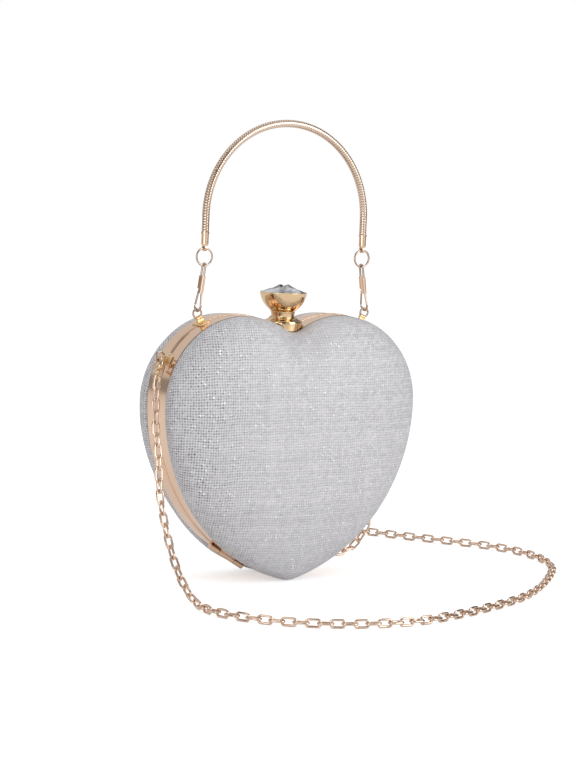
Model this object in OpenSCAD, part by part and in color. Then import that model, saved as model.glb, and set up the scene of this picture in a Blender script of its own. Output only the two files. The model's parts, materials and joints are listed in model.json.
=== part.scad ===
// Heart shaped evening purse with a metal frame, a snake-chain handle and a shoulder chain.
// Millimetres, +Z up, X to the right, the front faces -Y.
// The origin is the middle of the handle's crown, where a hand or a hook holds the purse.

/* [Heart frame] */
// Width of the frame across both lobes
frame_w = 150; // [140:1:160]
// Radius of each lobe
lobe_r = 45; // [42:0.5:48]
// Radius of the long side curves
side_r = 97; // [92:1:110]
// Radius of the rounded tip
tip_r = 11; // [8:0.5:14]
// Radius of the rounded cleft between the lobes
cleft_r = 11.3; // [10.5:0.1:13]
// Drop from the lobe centres to the centre of the tip's curve
tip_drop = 84.6; // [80:0.2:90]
// Depth of each half of the frame
half_d = 10.5; // [9.5:0.1:13]
// Thickness of the frame's sheet
frame_t = 1.2; // [0.8:0.1:1.6]
// Gap between the two halves where they meet
parting_gap = 0.3; // [0.2:0.05:0.4]
// Width of the raised bead along the parting line, on each half
bead_w = 1; // [0.6:0.1:1.4]
// Height of the raised bead
bead_h = 0.5; // [0.3:0.05:0.6]
// Width of the inner ledge that the shell seats on
ledge_w = 3; // [2.4:0.1:4]
// Thickness of the inner ledge
ledge_t = 1.1; // [0.8:0.1:1.5]

/* [Padded halves] */
// Rise of each half from the frame's edge to its crown
dome_rise = 21.4; // [16:0.2:26]
// Height over which the cover bulges past the frame's edge
edge_rise = 2.5; // [1.6:0.1:4]
// How far the cover stands proud of the frame's outline
cover_overhang = 1.2; // [0.8:0.1:2]
// Fullness of the dome, 2 is an ellipse and more is squarer
dome_fullness = 2.67; // [2.2:0.01:3.2]
// Radius that the heart relaxes to at the crown
crown_r = 70; // [60:1:80]
// Height of the dome's centre below the lobe centres
crown_drop = 18; // [12:1:24]
// Thickness of the glitter cloth with its padding
cover_t = 0.8; // [0.6:0.1:1.2]
// Thickness of the moulded shell
shell_t = 1.6; // [1.2:0.1:2.4]
// Thickness of the lining
lining_t = 0.6; // [0.4:0.1:1]
// Length of the shell's spigot inside the frame
spigot_l = 4; // [3:0.1:5]

/* [Handle] */
// How far the handle's legs stand inwards of the lugs
leg_inset = 3.1; // [1:0.1:5]
// Straight length of snake chain below the arch, each side
leg_l = 8.8; // [5:0.2:20]
// Diameter of the snake chain
snake_d = 4; // [3.2:0.1:5]
// Length of the end ferrule
ferrule_l = 7.2; // [6:0.1:10]
// Outer diameter of the end ferrule
ferrule_d = 4.5; // [4.3:0.1:6]
// Outer diameter of the handle ring
ring_d = 10.3; // [9:0.1:12]
// Wire of the handle ring and of the frame's loops
ring_wire = 1.1; // [0.9:0.1:1.2]
// Distance between the pivots of the snap hook
hook_pitch = 22.8; // [21:0.2:26]
// Wire of the snap hook
hook_wire_d = 1.2; // [1:0.1:1.3]
// Outer width of the snap hook's bow
bow_w = 7.2; // [6.6:0.1:8]
// Outer width of the snap hook's eye
eye_w = 4.2; // [4:0.1:5]
// Length of the snap hook's folded sleeve
sleeve_l = 9.2; // [8:0.1:10]
// Width and thickness of the sleeve
sleeve_w = 4.8; // [4.6:0.1:5.4]
sleeve_t = 2.2; // [1.8:0.1:2.6]

/* [Lugs] */
// Distance of each handle lug from the frame's side
lug_inset = 22.5; // [19:0.5:25]
// Height of the handle loop's centre above the frame's band
lug_reach = 5.9; // [5.6:0.1:7]
// Outer diameter of the frame's loops
loop_d = 6; // [5.6:0.1:7]
// Width of a lug along the frame
lug_w = 5.6; // [4.6:0.1:7]
// Depth of a lug across the parting line
lug_d = 10; // [8:0.2:12]
// Thickness of a lug's sheet
lug_t = 0.8; // [0.6:0.1:1]
// Angle of the shoulder chain's lugs on the lobes, above horizontal
side_lug_angle = 28; // [24:1:34]
// Height of the side loop's centre above the frame's band
side_lug_reach = 4.6; // [4.4:0.1:5.4]

/* [Knob clasp] */
// Diameter of the knob's cup at its rim
cup_d = 25.4; // [22:0.2:28]
// Height of the cup above its neck
cup_h = 10.2; // [9:0.1:12]
// Diameter of the knob's neck
neck_d = 13; // [12:0.1:14]
// Height of the cup's foot above the bottom of the cleft
cup_rise = 10.46; // [9.6:0.02:12]
// Travel of the knob when it is pressed
knob_travel = 2.6; // [2.2:0.1:2.8]
// Diameter of the saddle under the knob
saddle_d = 20.8; // [19:0.1:21]
// Free length of the coil spring under the latch tongue
spring_h = 7.4; // [6.8:0.1:8]
// Diameter of the rod that carries the latch tongue
rod_d = 4; // [3:0.1:4.2]
// Height of the crystal above the cup's rim
crystal_h = 4.2; // [3:0.1:6]

/* [Hinge] */
// Place of the hinge on the side curve, as an angle below horizontal
hinge_angle = 58; // [54:1:62]
// Length of the hinge
hinge_l = 24; // [18:0.5:28]
// Diameter of the knuckles
knuckle_d = 3; // [2.6:0.1:3.2]
// Diameter of the hinge pin
pin_d = 1.5; // [1.2:0.1:1.7]

/* [Shoulder chain] */
// Length of a link
link_l = 8.7; // [8:0.1:9.4]
// Width of a link
link_w = 4.9; // [4.6:0.1:5.2]
// Wire of a link
link_wire = 1.3; // [1:0.1:1.4]
// Outer diameter of the lobster clasp's bow
clasp_d = 7.8; // [7.6:0.1:8.4]
// Thickness of the lobster clasp's bow
clasp_wire = 1.6; // [1.4:0.1:1.6]
// Length of the lobster clasp's neck
clasp_neck_l = 2.6; // [2:0.1:4]
// Width of the lobster clasp's end eye
clasp_eye_d = 3.8; // [3.6:0.1:4.6]

/* [Hidden] */
$fn = 48;

gold = [0.86, 0.70, 0.58];
amber = [0.85, 0.66, 0.42];
silver_cloth = [0.80, 0.80, 0.82];
shell_grey = [0.62, 0.62, 0.64];
satin = [0.88, 0.86, 0.84];
glass = [0.88, 0.90, 0.93];

cut = 0.5;          // overrun of every cut
seat = 0.1;         // gap of pieces that are set against each other
skin_gap = 0.15;    // gap between the cover, the shell and the lining
run_gap = 0.3;      // gap of pieces that move past each other
pivot_gap = 0.1;    // gap of wires that hang in each other
pin_gap = 0.05;     // gap round the hinge pin in the front knuckle

// Centres and angles of the outline's arcs, for the right half
lobe = [frame_w / 2 - lobe_r, 0];
tip = [0, -tip_drop];
tip_reach = norm(tip - lobe);
tip_way = (tip - lobe) / tip_reach;
side_along = (pow(side_r - lobe_r, 2) - pow(side_r - tip_r, 2) + pow(tip_reach, 2)) / (2 * tip_reach);
side_across = sqrt(pow(side_r - lobe_r, 2) - pow(side_along, 2));
side = lobe + tip_way * side_along + [tip_way[1], -tip_way[0]] * side_across;
cleft = [0, sqrt(pow(lobe_r + cleft_r, 2) - pow(lobe[0], 2))];
cleft_angle = atan2(lobe[1] - cleft[1], lobe[0]);
lobe_end = atan2(lobe[1] - side[1], lobe[0] - side[0]);
side_end = atan2(tip[1] - side[1], tip[0] - side[0]);
cleft_bottom = cleft[1] - cleft_r;
lug_x = frame_w / 2 - lug_inset;
arch_r = lug_x - leg_inset;

// Points on the cleft, lobe, side and tip arcs
fine_counts = [5, 22, 16, 6];
coarse_counts = [3, 11, 8, 3];

function arc(centre, radius, from, to, count) =
    [for (i = [0:count - 1]) let (a = from + (to - from) * i / count) centre + radius * [cos(a), sin(a)]];

// Outline of the heart, moved inwards by an even inset
function outline(inset, counts) = let (
        right = concat(
            arc(cleft, cleft_r + inset, -90, cleft_angle, counts[0]),
            arc(lobe, lobe_r - inset, cleft_angle + 180, lobe_end, counts[1]),
            arc(side, side_r - inset, lobe_end, side_end, counts[2]),
            arc(tip, tip_r - inset, side_end, -90, counts[3]),
            [tip - [0, tip_r - inset]]))
    concat(right, [for (i = [len(right) - 2:-1:1]) [-right[i][0], right[i][1]]]);

// Heights of the handle's parts, from the crown down
eye_hole_d = ring_wire + 2 * run_gap;
ferrule_end = -(arch_r + leg_l + ferrule_l);
tab_r = 1.9;        // radius of the ferrule's eye tab
tab_t = 1.4;        // thickness of the eye tab
ferrule_lip = 0.3;  // step between the ferrule's barrel and its cuff
cuff_l = 1;         // length of the cuff and of the tapered end
eye_hole_z = ferrule_end - tab_r / 2;
ring_r = (ring_d - ring_wire) / 2;
ring_top = eye_hole_z - run_gap + pivot_gap;
ring_z = ring_top - ring_r;
ring_bottom = ring_z - ring_r;
hook_lean = asin((lug_x - arch_r) / hook_pitch);
hook_bottom = ring_bottom - hook_pitch * cos(hook_lean);
loop_r = (loop_d - ring_wire) / 2;
lug_angle = acos((lug_x - lobe[0]) / (lobe_r + lug_reach));
bag_z = hook_bottom - loop_r - (lobe_r + lug_reach) * sin(lug_angle);

// Half of the frame as a ring, between two insets and two distances from the parting plane
module band(outer_inset, inner_inset, from_y, to_y) {
    rotate([90, 0, 0]) translate([0, 0, from_y]) linear_extrude(to_y - from_y) difference() {
        polygon(outline(outer_inset, fine_counts));
        polygon(outline(inner_inset, fine_counts));
    }
}

module solid_heart(inset, from_y, to_y) {
    rotate([90, 0, 0]) translate([0, 0, from_y]) linear_extrude(to_y - from_y)
        polygon(outline(inset, fine_counts));
}

module in_bag() {
    translate([0, 0, bag_z]) children();
}

// The back half is the front half mirrored
module as_back() {
    mirror([0, 1, 0]) children();
}

// Hinge axis, lower left, just outside the band
hinge_out = knuckle_d / 2 - frame_t / 2;
hinge_r = side_r + hinge_out;
hinge_pos = [-(side[0] + hinge_r * cos(hinge_angle)), side[1] - hinge_r * sin(hinge_angle)];
knuckle_share = 0.27;
knuckle_l = hinge_l * knuckle_share;
hinge_notch_y = knuckle_d / 2 + 2 * run_gap;

// Local frame of the hinge: X along the pin, Z into the purse
module at_hinge() {
    translate([hinge_pos[0], 0, hinge_pos[1]]) rotate([0, 90 - hinge_angle, 0]) children();
}

module hinge_notch() {
    at_hinge() translate([-hinge_l / 2 - run_gap, -hinge_notch_y, -knuckle_d])
        cube([hinge_l + 2 * run_gap, 2 * hinge_notch_y, 2 * knuckle_d]);
}

module rod_notch() {
    translate([0, 0, cleft_bottom - 2 * frame_t])
        cylinder(d = rod_d + 4 * run_gap, h = 4 * frame_t);
}

module frame_half() {
    gap_y = parting_gap / 2;
    ledge_y = half_d - spigot_l - seat - ledge_t;
    difference() {
        union() {
            band(0, frame_t, gap_y, half_d);
            band(frame_t, frame_t + ledge_w, ledge_y, ledge_y + ledge_t);
            difference() {
                band(-bead_h, 0, gap_y, gap_y + bead_w);
                saddle_clearance();
            }
        }
        hinge_notch();
        rod_notch();
    }
}

module saddle_clearance() {
    translate([0, 0, cleft_bottom - frame_t]) cylinder(d = saddle_d + 2 * run_gap, h = saddle_d);
}

// Rings of points for the padded skins: outline rings at the rim, then rings up the dome
crown = [0, -crown_drop];
dome_body = dome_rise - edge_rise;

function rim_ring(inset, y) = [for (p = outline(inset, coarse_counts)) [p[0], -y, p[1]]];

function dome_ring(angle, depth) = let (
        k = pow(cos(angle), 2 / dome_fullness),
        s = pow(sin(angle), 2 / dome_fullness))
    [for (p = outline(-cover_overhang, coarse_counts)) let (
            reach = norm(p - crown),
            way = (p - crown) / reach,
            slope = [pow(k, dome_fullness - 1) / reach, pow(s, dome_fullness - 1) / dome_body],
            normal = slope / norm(slope),
            r = k * (reach * k + crown_r * (1 - k)) - depth * normal[0],
            at = crown + way * r)
        [at[0], -(half_d + edge_rise + dome_body * s - depth * normal[1]), at[1]]];

function dome_top(depth) = [crown[0], -(half_d + dome_rise - depth), crown[1]];

fine_angles = [0, 9, 19, 30, 42, 55, 70];
coarse_angles = [0, 15, 30, 48, 66];

// A closed skin: outer rings from the rim to the crown, and inner rings back to the rim
module skin(outer_rim, outer_angles, outer_depth, inner_rim, inner_depth) {
    outer = concat(outer_rim, [for (a = outer_angles) dome_ring(a, outer_depth)]);
    inner = concat(inner_rim, [for (a = coarse_angles) dome_ring(a, inner_depth)]);
    n = len(outer[0]);
    m = len(outer);
    q = len(inner);
    points = concat([for (ring = outer) for (p = ring) p], [for (ring = inner) for (p = ring) p],
        [dome_top(outer_depth), dome_top(inner_depth)]);
    inner_at = m * n;
    top_outer = (m + q) * n;
    top_inner = top_outer + 1;
    faces = concat(
        [for (j = [0:m - 2]) for (i = [0:n - 1])
            let (a = j * n + i, b = j * n + (i + 1) % n) [a, b, b + n]],
        [for (j = [0:m - 2]) for (i = [0:n - 1])
            let (a = j * n + i, b = j * n + (i + 1) % n) [a, b + n, a + n]],
        [for (i = [0:n - 1]) [(m - 1) * n + i, (m - 1) * n + (i + 1) % n, top_outer]],
        [for (j = [0:q - 2]) for (i = [0:n - 1])
            let (a = inner_at + j * n + i, b = inner_at + j * n + (i + 1) % n) [b, a, b + n]],
        [for (j = [0:q - 2]) for (i = [0:n - 1])
            let (a = inner_at + j * n + i, b = inner_at + j * n + (i + 1) % n) [b + n, a, a + n]],
        [for (i = [0:n - 1]) [inner_at + (q - 1) * n + (i + 1) % n, inner_at + (q - 1) * n + i, top_inner]],
        [for (i = [0:n - 1]) [(i + 1) % n, i, inner_at + i]],
        [for (i = [0:n - 1]) [(i + 1) % n, inner_at + i, inner_at + (i + 1) % n]]);
    polyhedron(points, faces);
}

shell_depth = cover_t + skin_gap;
lining_depth = shell_depth + shell_t + skin_gap;
spigot_inset = frame_t + 2 * seat;
spigot_y = half_d - spigot_l;
tuck_rise = edge_rise / 3;

module cover_half() {
    color(silver_cloth) skin(
        [rim_ring(2 * seat, half_d + seat), rim_ring(-cover_overhang * 3 / 4, half_d + tuck_rise)],
        fine_angles, 0,
        [rim_ring(2 * seat + cover_t, half_d + seat),
            rim_ring(cover_t - cover_overhang * 3 / 4, half_d + tuck_rise + cover_t / 4)], cover_t);
}

module shell_half() {
    color(shell_grey) skin(
        [rim_ring(spigot_inset, spigot_y), rim_ring(spigot_inset, half_d + seat)],
        coarse_angles, shell_depth,
        [rim_ring(spigot_inset + shell_t, spigot_y), rim_ring(spigot_inset + shell_t, half_d + tuck_rise)],
        shell_depth + shell_t);
}

module lining_half() {
    inset = spigot_inset + shell_t + skin_gap;
    color(satin) skin(
        [rim_ring(inset, spigot_y), rim_ring(inset, half_d + tuck_rise + seat)],
        coarse_angles, lining_depth,
        [rim_ring(inset + lining_t, spigot_y), rim_ring(inset + lining_t, half_d + tuck_rise + lining_t)],
        lining_depth + lining_t);
}

module front_frame() {
    color(gold) in_bag() frame_half();
}

module back_frame() {
    color(gold) in_bag() as_back() frame_half();
}

// Hinge leaves: a curved plate inside the band, a web and knuckles
plate_t = 0.8;
plate_y = half_d - spigot_l - 2 * seat - ledge_t - run_gap;
web_y = 0.6;

module knuckle(from_x, to_x, clearance) {
    translate([from_x, 0, 0]) rotate([0, 90, 0]) difference() {
        cylinder(d = knuckle_d, h = to_x - from_x);
        translate([0, 0, -cut]) cylinder(d = pin_d + 2 * clearance, h = to_x - from_x + 2 * cut);
    }
}

module leaf_web(from_x, to_x) {
    difference() {
        translate([from_x, -knuckle_d / 2, 0])
            cube([to_x - from_x, knuckle_d / 2 - web_y, hinge_out + frame_t + plate_t / 2]);
        rotate([0, 90, 0]) translate([0, 0, -hinge_l]) cylinder(d = knuckle_d - 2 * web_y, h = 2 * hinge_l);
    }
}

module leaf_plate() {
    intersection() {
        band(frame_t, frame_t + plate_t, web_y, plate_y);
        at_hinge() translate([-hinge_l / 2, -half_d, 0]) cube([hinge_l, 2 * half_d, 2 * knuckle_d]);
    }
}

module hinge_front_leaf() {
    edge = hinge_l / 2 - knuckle_l - run_gap;
    color(gold) in_bag() {
        at_hinge() knuckle(-edge, edge, pin_gap);
        at_hinge() leaf_web(-edge, edge);
        leaf_plate();
    }
}

module hinge_back_leaf() {
    inner = hinge_l / 2 - knuckle_l;
    color(gold) in_bag() as_back() {
        at_hinge() for (span = [[-hinge_l / 2, -inner], [inner, hinge_l / 2]]) {
            knuckle(span[0], span[1], 0);
            leaf_web(span[0], span[1]);
        }
        leaf_plate();
    }
}

module hinge_pin() {
    color(gold) in_bag() at_hinge() translate([-hinge_l / 2, 0, 0]) rotate([0, 90, 0])
        cylinder(d = pin_d, h = hinge_l);
}

// Knob: the saddle hugs the cleft, the cup holds the crystal and the rod carries the tongue
cup_z = cleft_bottom + cup_rise;
saddle_top = cup_z - knob_travel - 4 * run_gap;
foot_room = 2.4;    // room between the knob's neck and the band when it is pressed
neck_bottom = cleft_bottom + knob_travel + foot_room;
shoulder_h = 2.6;   // height of the saddle's rounded shoulder
// Way inwards over the shoulder and way down from its top
saddle_shares = [[0, 1], [0.13, 0.58], [0.45, 0.23], [0.77, 0]];

module knob_saddle() {
    r = saddle_d / 2;
    bore = neck_d / 2 + run_gap / 2;
    color(amber) in_bag() difference() {
        rotate_extrude() polygon(concat([[bore, cleft_bottom - frame_t], [r, cleft_bottom - frame_t]],
            [for (s = saddle_shares) [r - s[0] * (r - bore), saddle_top - s[1] * shoulder_h]],
            [[bore, saddle_top]]));
        solid_heart(-run_gap, -cut, half_d + cut);
        as_back() solid_heart(0, 0, half_d + cut);
        as_back() band(-bead_h - run_gap, 0, -cut, parting_gap / 2 + bead_w + run_gap);
        band(-bead_h - run_gap, 0, -cut, parting_gap / 2 + bead_w + run_gap);
    }
}

cup_r = cup_d / 2;
neck_r = neck_d / 2;
rim_t = 0.7;        // wall of the cup at its rim
well_slope = 1.4;   // way that the cup's well narrows to its floor
well_z = cup_z + cup_h * 0.62;
stone_r = cup_r - rim_t - seat;
neck_round = 0.4;   // rounding of the neck's foot
ring_h = 0.5;       // height of the two fine rings on the neck
// Way from the neck to the rim, outwards and upwards
cup_shares = [[0.08, 0.03], [0.21, 0.1], [0.53, 0.32], [0.78, 0.55], [0.935, 0.775], [0.985, 0.93], [1, 1]];

module knob_cup() {
    color(amber) in_bag() {
        rotate_extrude() polygon(concat(
            [[0, neck_bottom], [neck_r - neck_round, neck_bottom], [neck_r, neck_bottom + neck_round],
                [neck_r, cup_z - 2 * ring_h], [neck_r + ring_h, cup_z - ring_h]],
            [for (s = cup_shares) [neck_r + s[0] * (cup_r - neck_r), cup_z + s[1] * cup_h]],
            [[cup_r - rim_t, cup_z + cup_h], [cup_r - rim_t - well_slope, well_z], [0, well_z]]));
        translate([0, 0, tongue_z]) cylinder(d = rod_d, h = neck_bottom - tongue_z);
    }
}

// Radius and height, on a ridge and in a valley, of each ring of the stone above its girdle
star_shares = [[[0.66, 0.42], [0.52, 0.16]], [[0.24, 1], [0.24, 0.62]]];
dimple_share = 0.8;

// A faceted stone: a girdle, a star of ridges and a peaked table
module knob_crystal() {
    girdle_z = cup_z + cup_h - seat;
    base_z = well_z + seat;
    base_r = cup_r - rim_t - well_slope - 2 * seat;
    steps = 16;
    points = concat(
        [[0, 0, base_z]],
        [for (i = [0:steps - 1]) let (a = 360 * i / steps) [base_r * cos(a), base_r * sin(a), base_z]],
        [for (i = [0:steps - 1]) let (a = 360 * i / steps) [stone_r * cos(a), stone_r * sin(a), girdle_z]],
        [for (j = [0:1]) for (i = [0:steps - 1]) let (
                a = 360 * i / steps,
                s = star_shares[j][i % (2 + 2 * j) == 0 ? 0 : 1])
            [stone_r * s[0] * cos(a), stone_r * s[0] * sin(a), girdle_z + crystal_h * s[1]]],
        [[0, 0, girdle_z + crystal_h * dimple_share]]);
    top = 4 * steps + 1;
    color(glass) in_bag() polyhedron(points, concat(
        [for (i = [0:steps - 1]) [0, 1 + i, 1 + (i + 1) % steps]],
        [for (j = [0:2]) for (i = [0:steps - 1])
            let (a = 1 + j * steps + i, b = 1 + j * steps + (i + 1) % steps)
            [b, a, b + steps]],
        [for (j = [0:2]) for (i = [0:steps - 1])
            let (a = 1 + j * steps + i, b = 1 + j * steps + (i + 1) % steps)
            [b + steps, a, a + steps]],
        [for (i = [0:steps - 1]) [1 + 3 * steps + (i + 1) % steps, 1 + 3 * steps + i, top]]));
}

// Latch inside the purse, below the cleft
latch_drop = 8.4;   // from the band's inside to the latch tongue
tongue_t = 1.2;     // thickness of the tongue
tongue_w = 7;       // width of the tongue, the bracket and the catch
nose_y = 5.5;       // reach of the tongue's nose towards the front
nose_t = 1.2;       // thickness of the nose
nose_h = 2.8;       // height of the nose above the tongue
catch_lip = 2;      // how far the catch hangs behind the nose
guide_d = 2.2;      // pin under the tongue that the spring goes round
bracket_t = 1;      // thickness of the bracket's sheet
spring_d = 4.8;     // outer diameter of the spring
spring_wire = 0.6;  // wire of the spring and sheet of the catch
spring_turns = 4;
tongue_z = cleft_bottom - frame_t - latch_drop;
floor_z = tongue_z - spring_h;

module latch_tongue() {
    color(gold) in_bag() {
        translate([-tongue_w / 2, -nose_y, tongue_z - tongue_t])
            cube([tongue_w, nose_y + rod_d / 2, tongue_t]);
        translate([-tongue_w / 2, -nose_y, tongue_z - cut]) cube([tongue_w, nose_t, nose_h + cut]);
        translate([0, 0, floor_z - bracket_t - knob_travel])
            cylinder(d = guide_d, h = tongue_z - floor_z + bracket_t + knob_travel);
    }
}

// A sprung leaf on the front half, whose end stands behind the tongue's nose
module catch_spring() {
    lip_y = nose_y - nose_t - run_gap;
    foot_y = half_d - spigot_l - ledge_t - 2 * seat;
    color(gold) in_bag() intersection() {
        union() {
            translate([-tongue_w / 2, -foot_y, cleft_bottom - frame_t - spring_wire])
                cube([tongue_w, foot_y - lip_y + spring_wire, cleft_r]);
            translate([-tongue_w / 2, -lip_y, tongue_z + nose_h - catch_lip])
                cube([tongue_w, spring_wire, cleft[1] - tongue_z]);
        }
        union() {
            band(frame_t, frame_t + spring_wire, 0, half_d);
            translate([-tongue_w, -lip_y, tongue_z])
                cube([2 * tongue_w, spring_wire, cleft_bottom - frame_t - tongue_z]);
            intersection() {
                translate([-tongue_w, -lip_y, tongue_z]) cube([2 * tongue_w, spring_wire, cleft_r * 2]);
                solid_heart(frame_t, 0, half_d);
            }
        }
    }
}

module latch_bracket() {
    back_y = rod_d / 2 + 2 * run_gap;
    color(gold) in_bag() intersection() {
        difference() {
            union() {
                translate([-tongue_w / 2, back_y, floor_z - bracket_t])
                    cube([tongue_w, bracket_t, cleft[1] - floor_z]);
                translate([-tongue_w / 2, -spring_d / 2, floor_z - bracket_t])
                    cube([tongue_w, spring_d / 2 + back_y + bracket_t, bracket_t]);
            }
            translate([0, 0, floor_z - bracket_t - cut])
                cylinder(d = guide_d + 2 * run_gap, h = bracket_t + 2 * cut);
        }
        solid_heart(frame_t + seat, -half_d, half_d);
    }
}

// A coil from the bracket's floor to the tongue
module latch_spring() {
    per_turn = 12;
    sides = 6;
    steps = spring_turns * per_turn;
    r = (spring_d - spring_wire) / 2;
    low = floor_z + spring_wire / 2 + seat;
    rise = spring_h - tongue_t - spring_wire - 2 * seat;
    points = [for (i = [0:steps]) let (a = 360 * i / per_turn, z = low + rise * i / steps)
        for (j = [0:sides - 1]) let (b = 360 * j / sides, w = r + spring_wire / 2 * cos(b))
            [w * cos(a), w * sin(a), z + spring_wire / 2 * sin(b)]];
    coil_gap = min([for (i = [0:steps - per_turn]) norm([0, 0, rise * per_turn / steps]) - spring_wire]);
    echo(str("latch_spring: least gap between its turns, mm: ", coil_gap));
    color(gold) in_bag() polyhedron(points, concat(
        [[for (j = [sides - 1:-1:0]) j]],
        [for (i = [0:steps - 1]) for (j = [0:sides - 1])
            let (a = i * sides + j, b = i * sides + (j + 1) % sides)
            [b, b + sides, a + sides, a]],
        [[for (j = [0:sides - 1]) steps * sides + j]]));
}

// Handle: a snake chain bent over an arch, with ferrules at its ends
module handle_chain() {
    color(gold) {
        translate([0, 0, -arch_r]) rotate([90, 0, 0]) rotate_extrude(angle = 180)
            translate([arch_r, 0]) circle(d = snake_d);
        for (x = [-arch_r, arch_r]) translate([x, 0, -arch_r - leg_l]) cylinder(d = snake_d, h = leg_l);
    }
}

module ferrule(x) {
    r = ferrule_d / 2;
    barrel_r = r - ferrule_lip;
    color(gold) translate([x, 0, 0]) difference() {
        union() {
            translate([0, 0, ferrule_end]) rotate_extrude() polygon([[0, 0], [barrel_r - ferrule_lip, 0],
                [barrel_r, cuff_l], [barrel_r, ferrule_l - cuff_l], [r, ferrule_l - cuff_l], [r, ferrule_l],
                [0, ferrule_l]]);
            translate([-tab_t / 2, 0, eye_hole_z]) rotate([0, 90, 0]) cylinder(r = tab_r, h = tab_t);
        }
        translate([-tab_r, 0, eye_hole_z]) rotate([0, 90, 0]) cylinder(d = eye_hole_d, h = 2 * tab_r);
    }
}

// Wire ring in the XZ plane
module wire_ring(outer_d, wire) {
    rotate([90, 0, 0]) rotate_extrude() translate([(outer_d - wire) / 2, 0]) circle(d = wire);
}

module handle_ring(x) {
    color(gold) translate([x, 0, ring_z]) wire_ring(ring_d, ring_wire);
}

// Snap hook, drawn downwards from its upper pivot, in the YZ plane
eye_r = (eye_w - hook_wire_d) / 2;
bow_r = (bow_w - hook_wire_d) / 2;
pivot_offset = (ring_wire + hook_wire_d) / 2 + pivot_gap;
sleeve_top = 5.4;   // from the hook's upper pivot to its sleeve
sleeve_end = sleeve_top + sleeve_l;
sleeve_wall = 0.3;  // sheet of the sleeve round the wires
sleeve_slit = 0.35; // width of the slit where the sheet's edges meet
gate_d = hook_wire_d - seat;
bow_z = hook_pitch + pivot_offset - bow_r;
root_y = sleeve_w / 2 - hook_wire_d / 2 - sleeve_wall;
gate_root = sleeve_end - hook_wire_d;

module at_hook(x) {
    translate([x, 0, ring_bottom]) rotate([0, x < 0 ? hook_lean : -hook_lean, 0])
        mirror([0, 0, 1]) children();
}

// Straight wire between two places in the YZ plane
module straight_wire(from, to, wire) {
    way = to - from;
    translate([0, from[0], from[1]]) rotate([-atan2(way[0], way[1]), 0, 0])
        cylinder(d = wire, h = norm(way));
}

module hook_wire(x) {
    eye_z = eye_r - pivot_offset;
    color(gold) at_hook(x) {
        translate([0, 0, eye_z]) rotate([0, 90, 0]) rotate([0, 0, -90]) rotate_extrude(angle = 180)
            translate([eye_r, 0]) circle(d = hook_wire_d);
        for (y = [-eye_r, eye_r]) translate([0, y, eye_z])
            cylinder(d = hook_wire_d, h = sleeve_top - eye_z);
        translate([0, 0, bow_z]) rotate([0, 90, 0]) rotate([0, 0, 90]) rotate_extrude(angle = 180)
            translate([bow_r, 0]) circle(d = hook_wire_d);
        intersection() {
            straight_wire([-root_y, gate_root], [-bow_r, bow_z], hook_wire_d);
            translate([-bow_w, -bow_w, sleeve_end])
                cube([2 * bow_w, 2 * bow_w, bow_z - sleeve_end + hook_wire_d / 4]);
        }
    }
}

module hook_gate(x) {
    color(gold) at_hook(x) {
        straight_wire([root_y, gate_root], [bow_r, bow_z - run_gap], gate_d);
        translate([0, root_y, gate_root]) sphere(d = gate_d);
    }
}

module hook_sleeve(x) {
    color(gold) at_hook(x) difference() {
        translate([0, 0, sleeve_top]) linear_extrude(sleeve_l) {
            square([sleeve_t, sleeve_w - sleeve_t], center = true);
            for (y = [-1, 1]) translate([0, y * (sleeve_w - sleeve_t) / 2]) circle(d = sleeve_t);
        }
        for (s = [-1, 1]) translate([s * sleeve_t / 2 - sleeve_slit, sleeve_w / 8, sleeve_top - cut])
            cube([2 * sleeve_slit, sleeve_slit, sleeve_l + 2 * cut]);
        translate([-sleeve_t, root_y - hook_wire_d, gate_root - hook_wire_d])
            cube([2 * sleeve_t, 3 * hook_wire_d, sleeve_l]);
    }
}

// Lug: a folded sheet over the parting line, seated on the back half, with a wire loop in its fold
fold_d = 2 * lug_t + ring_wire - run_gap;
fold_l = 3.4;       // length of the fold along the loop's wire
lug_out = bead_h + seat;

module lug(angle, reach) {
    fold_r = lobe_r + reach - loop_r;
    translate([lobe[0], 0, lobe[1]]) {
        intersection() {
            translate([-lobe[0], 0, -lobe[1]]) {
                band(-lug_out - lug_t, -lug_out, -lug_d / 2, lug_d / 2);
                as_back() band(-lug_out, 0, parting_gap / 2 + bead_w + seat, lug_d / 2);
            }
            rotate([0, -angle, 0]) translate([lobe_r / 2, -lug_d, -lug_w / 2])
                cube([lobe_r, 2 * lug_d, lug_w]);
        }
        rotate([0, -angle, 0]) {
            translate([lobe_r + lug_out + lug_t / 2, -lug_t, -fold_l / 2])
                cube([fold_r - lobe_r - lug_out - lug_t / 2, 2 * lug_t, fold_l]);
            translate([fold_r, 0, -fold_l / 2]) cylinder(d = fold_d, h = fold_l);
            translate([lobe_r + reach, 0, 0]) wire_ring(loop_d, ring_wire);
        }
    }
}

module mirrored_to(side_sign) {
    if (side_sign < 0) mirror([1, 0, 0]) children();
    else children();
}

module handle_lug(side_sign) {
    color(gold) in_bag() mirrored_to(side_sign) lug(lug_angle, lug_reach);
}

module side_lug(side_sign) {
    color(gold) in_bag() mirrored_to(side_sign) lug(side_lug_angle, side_lug_reach);
}

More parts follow.
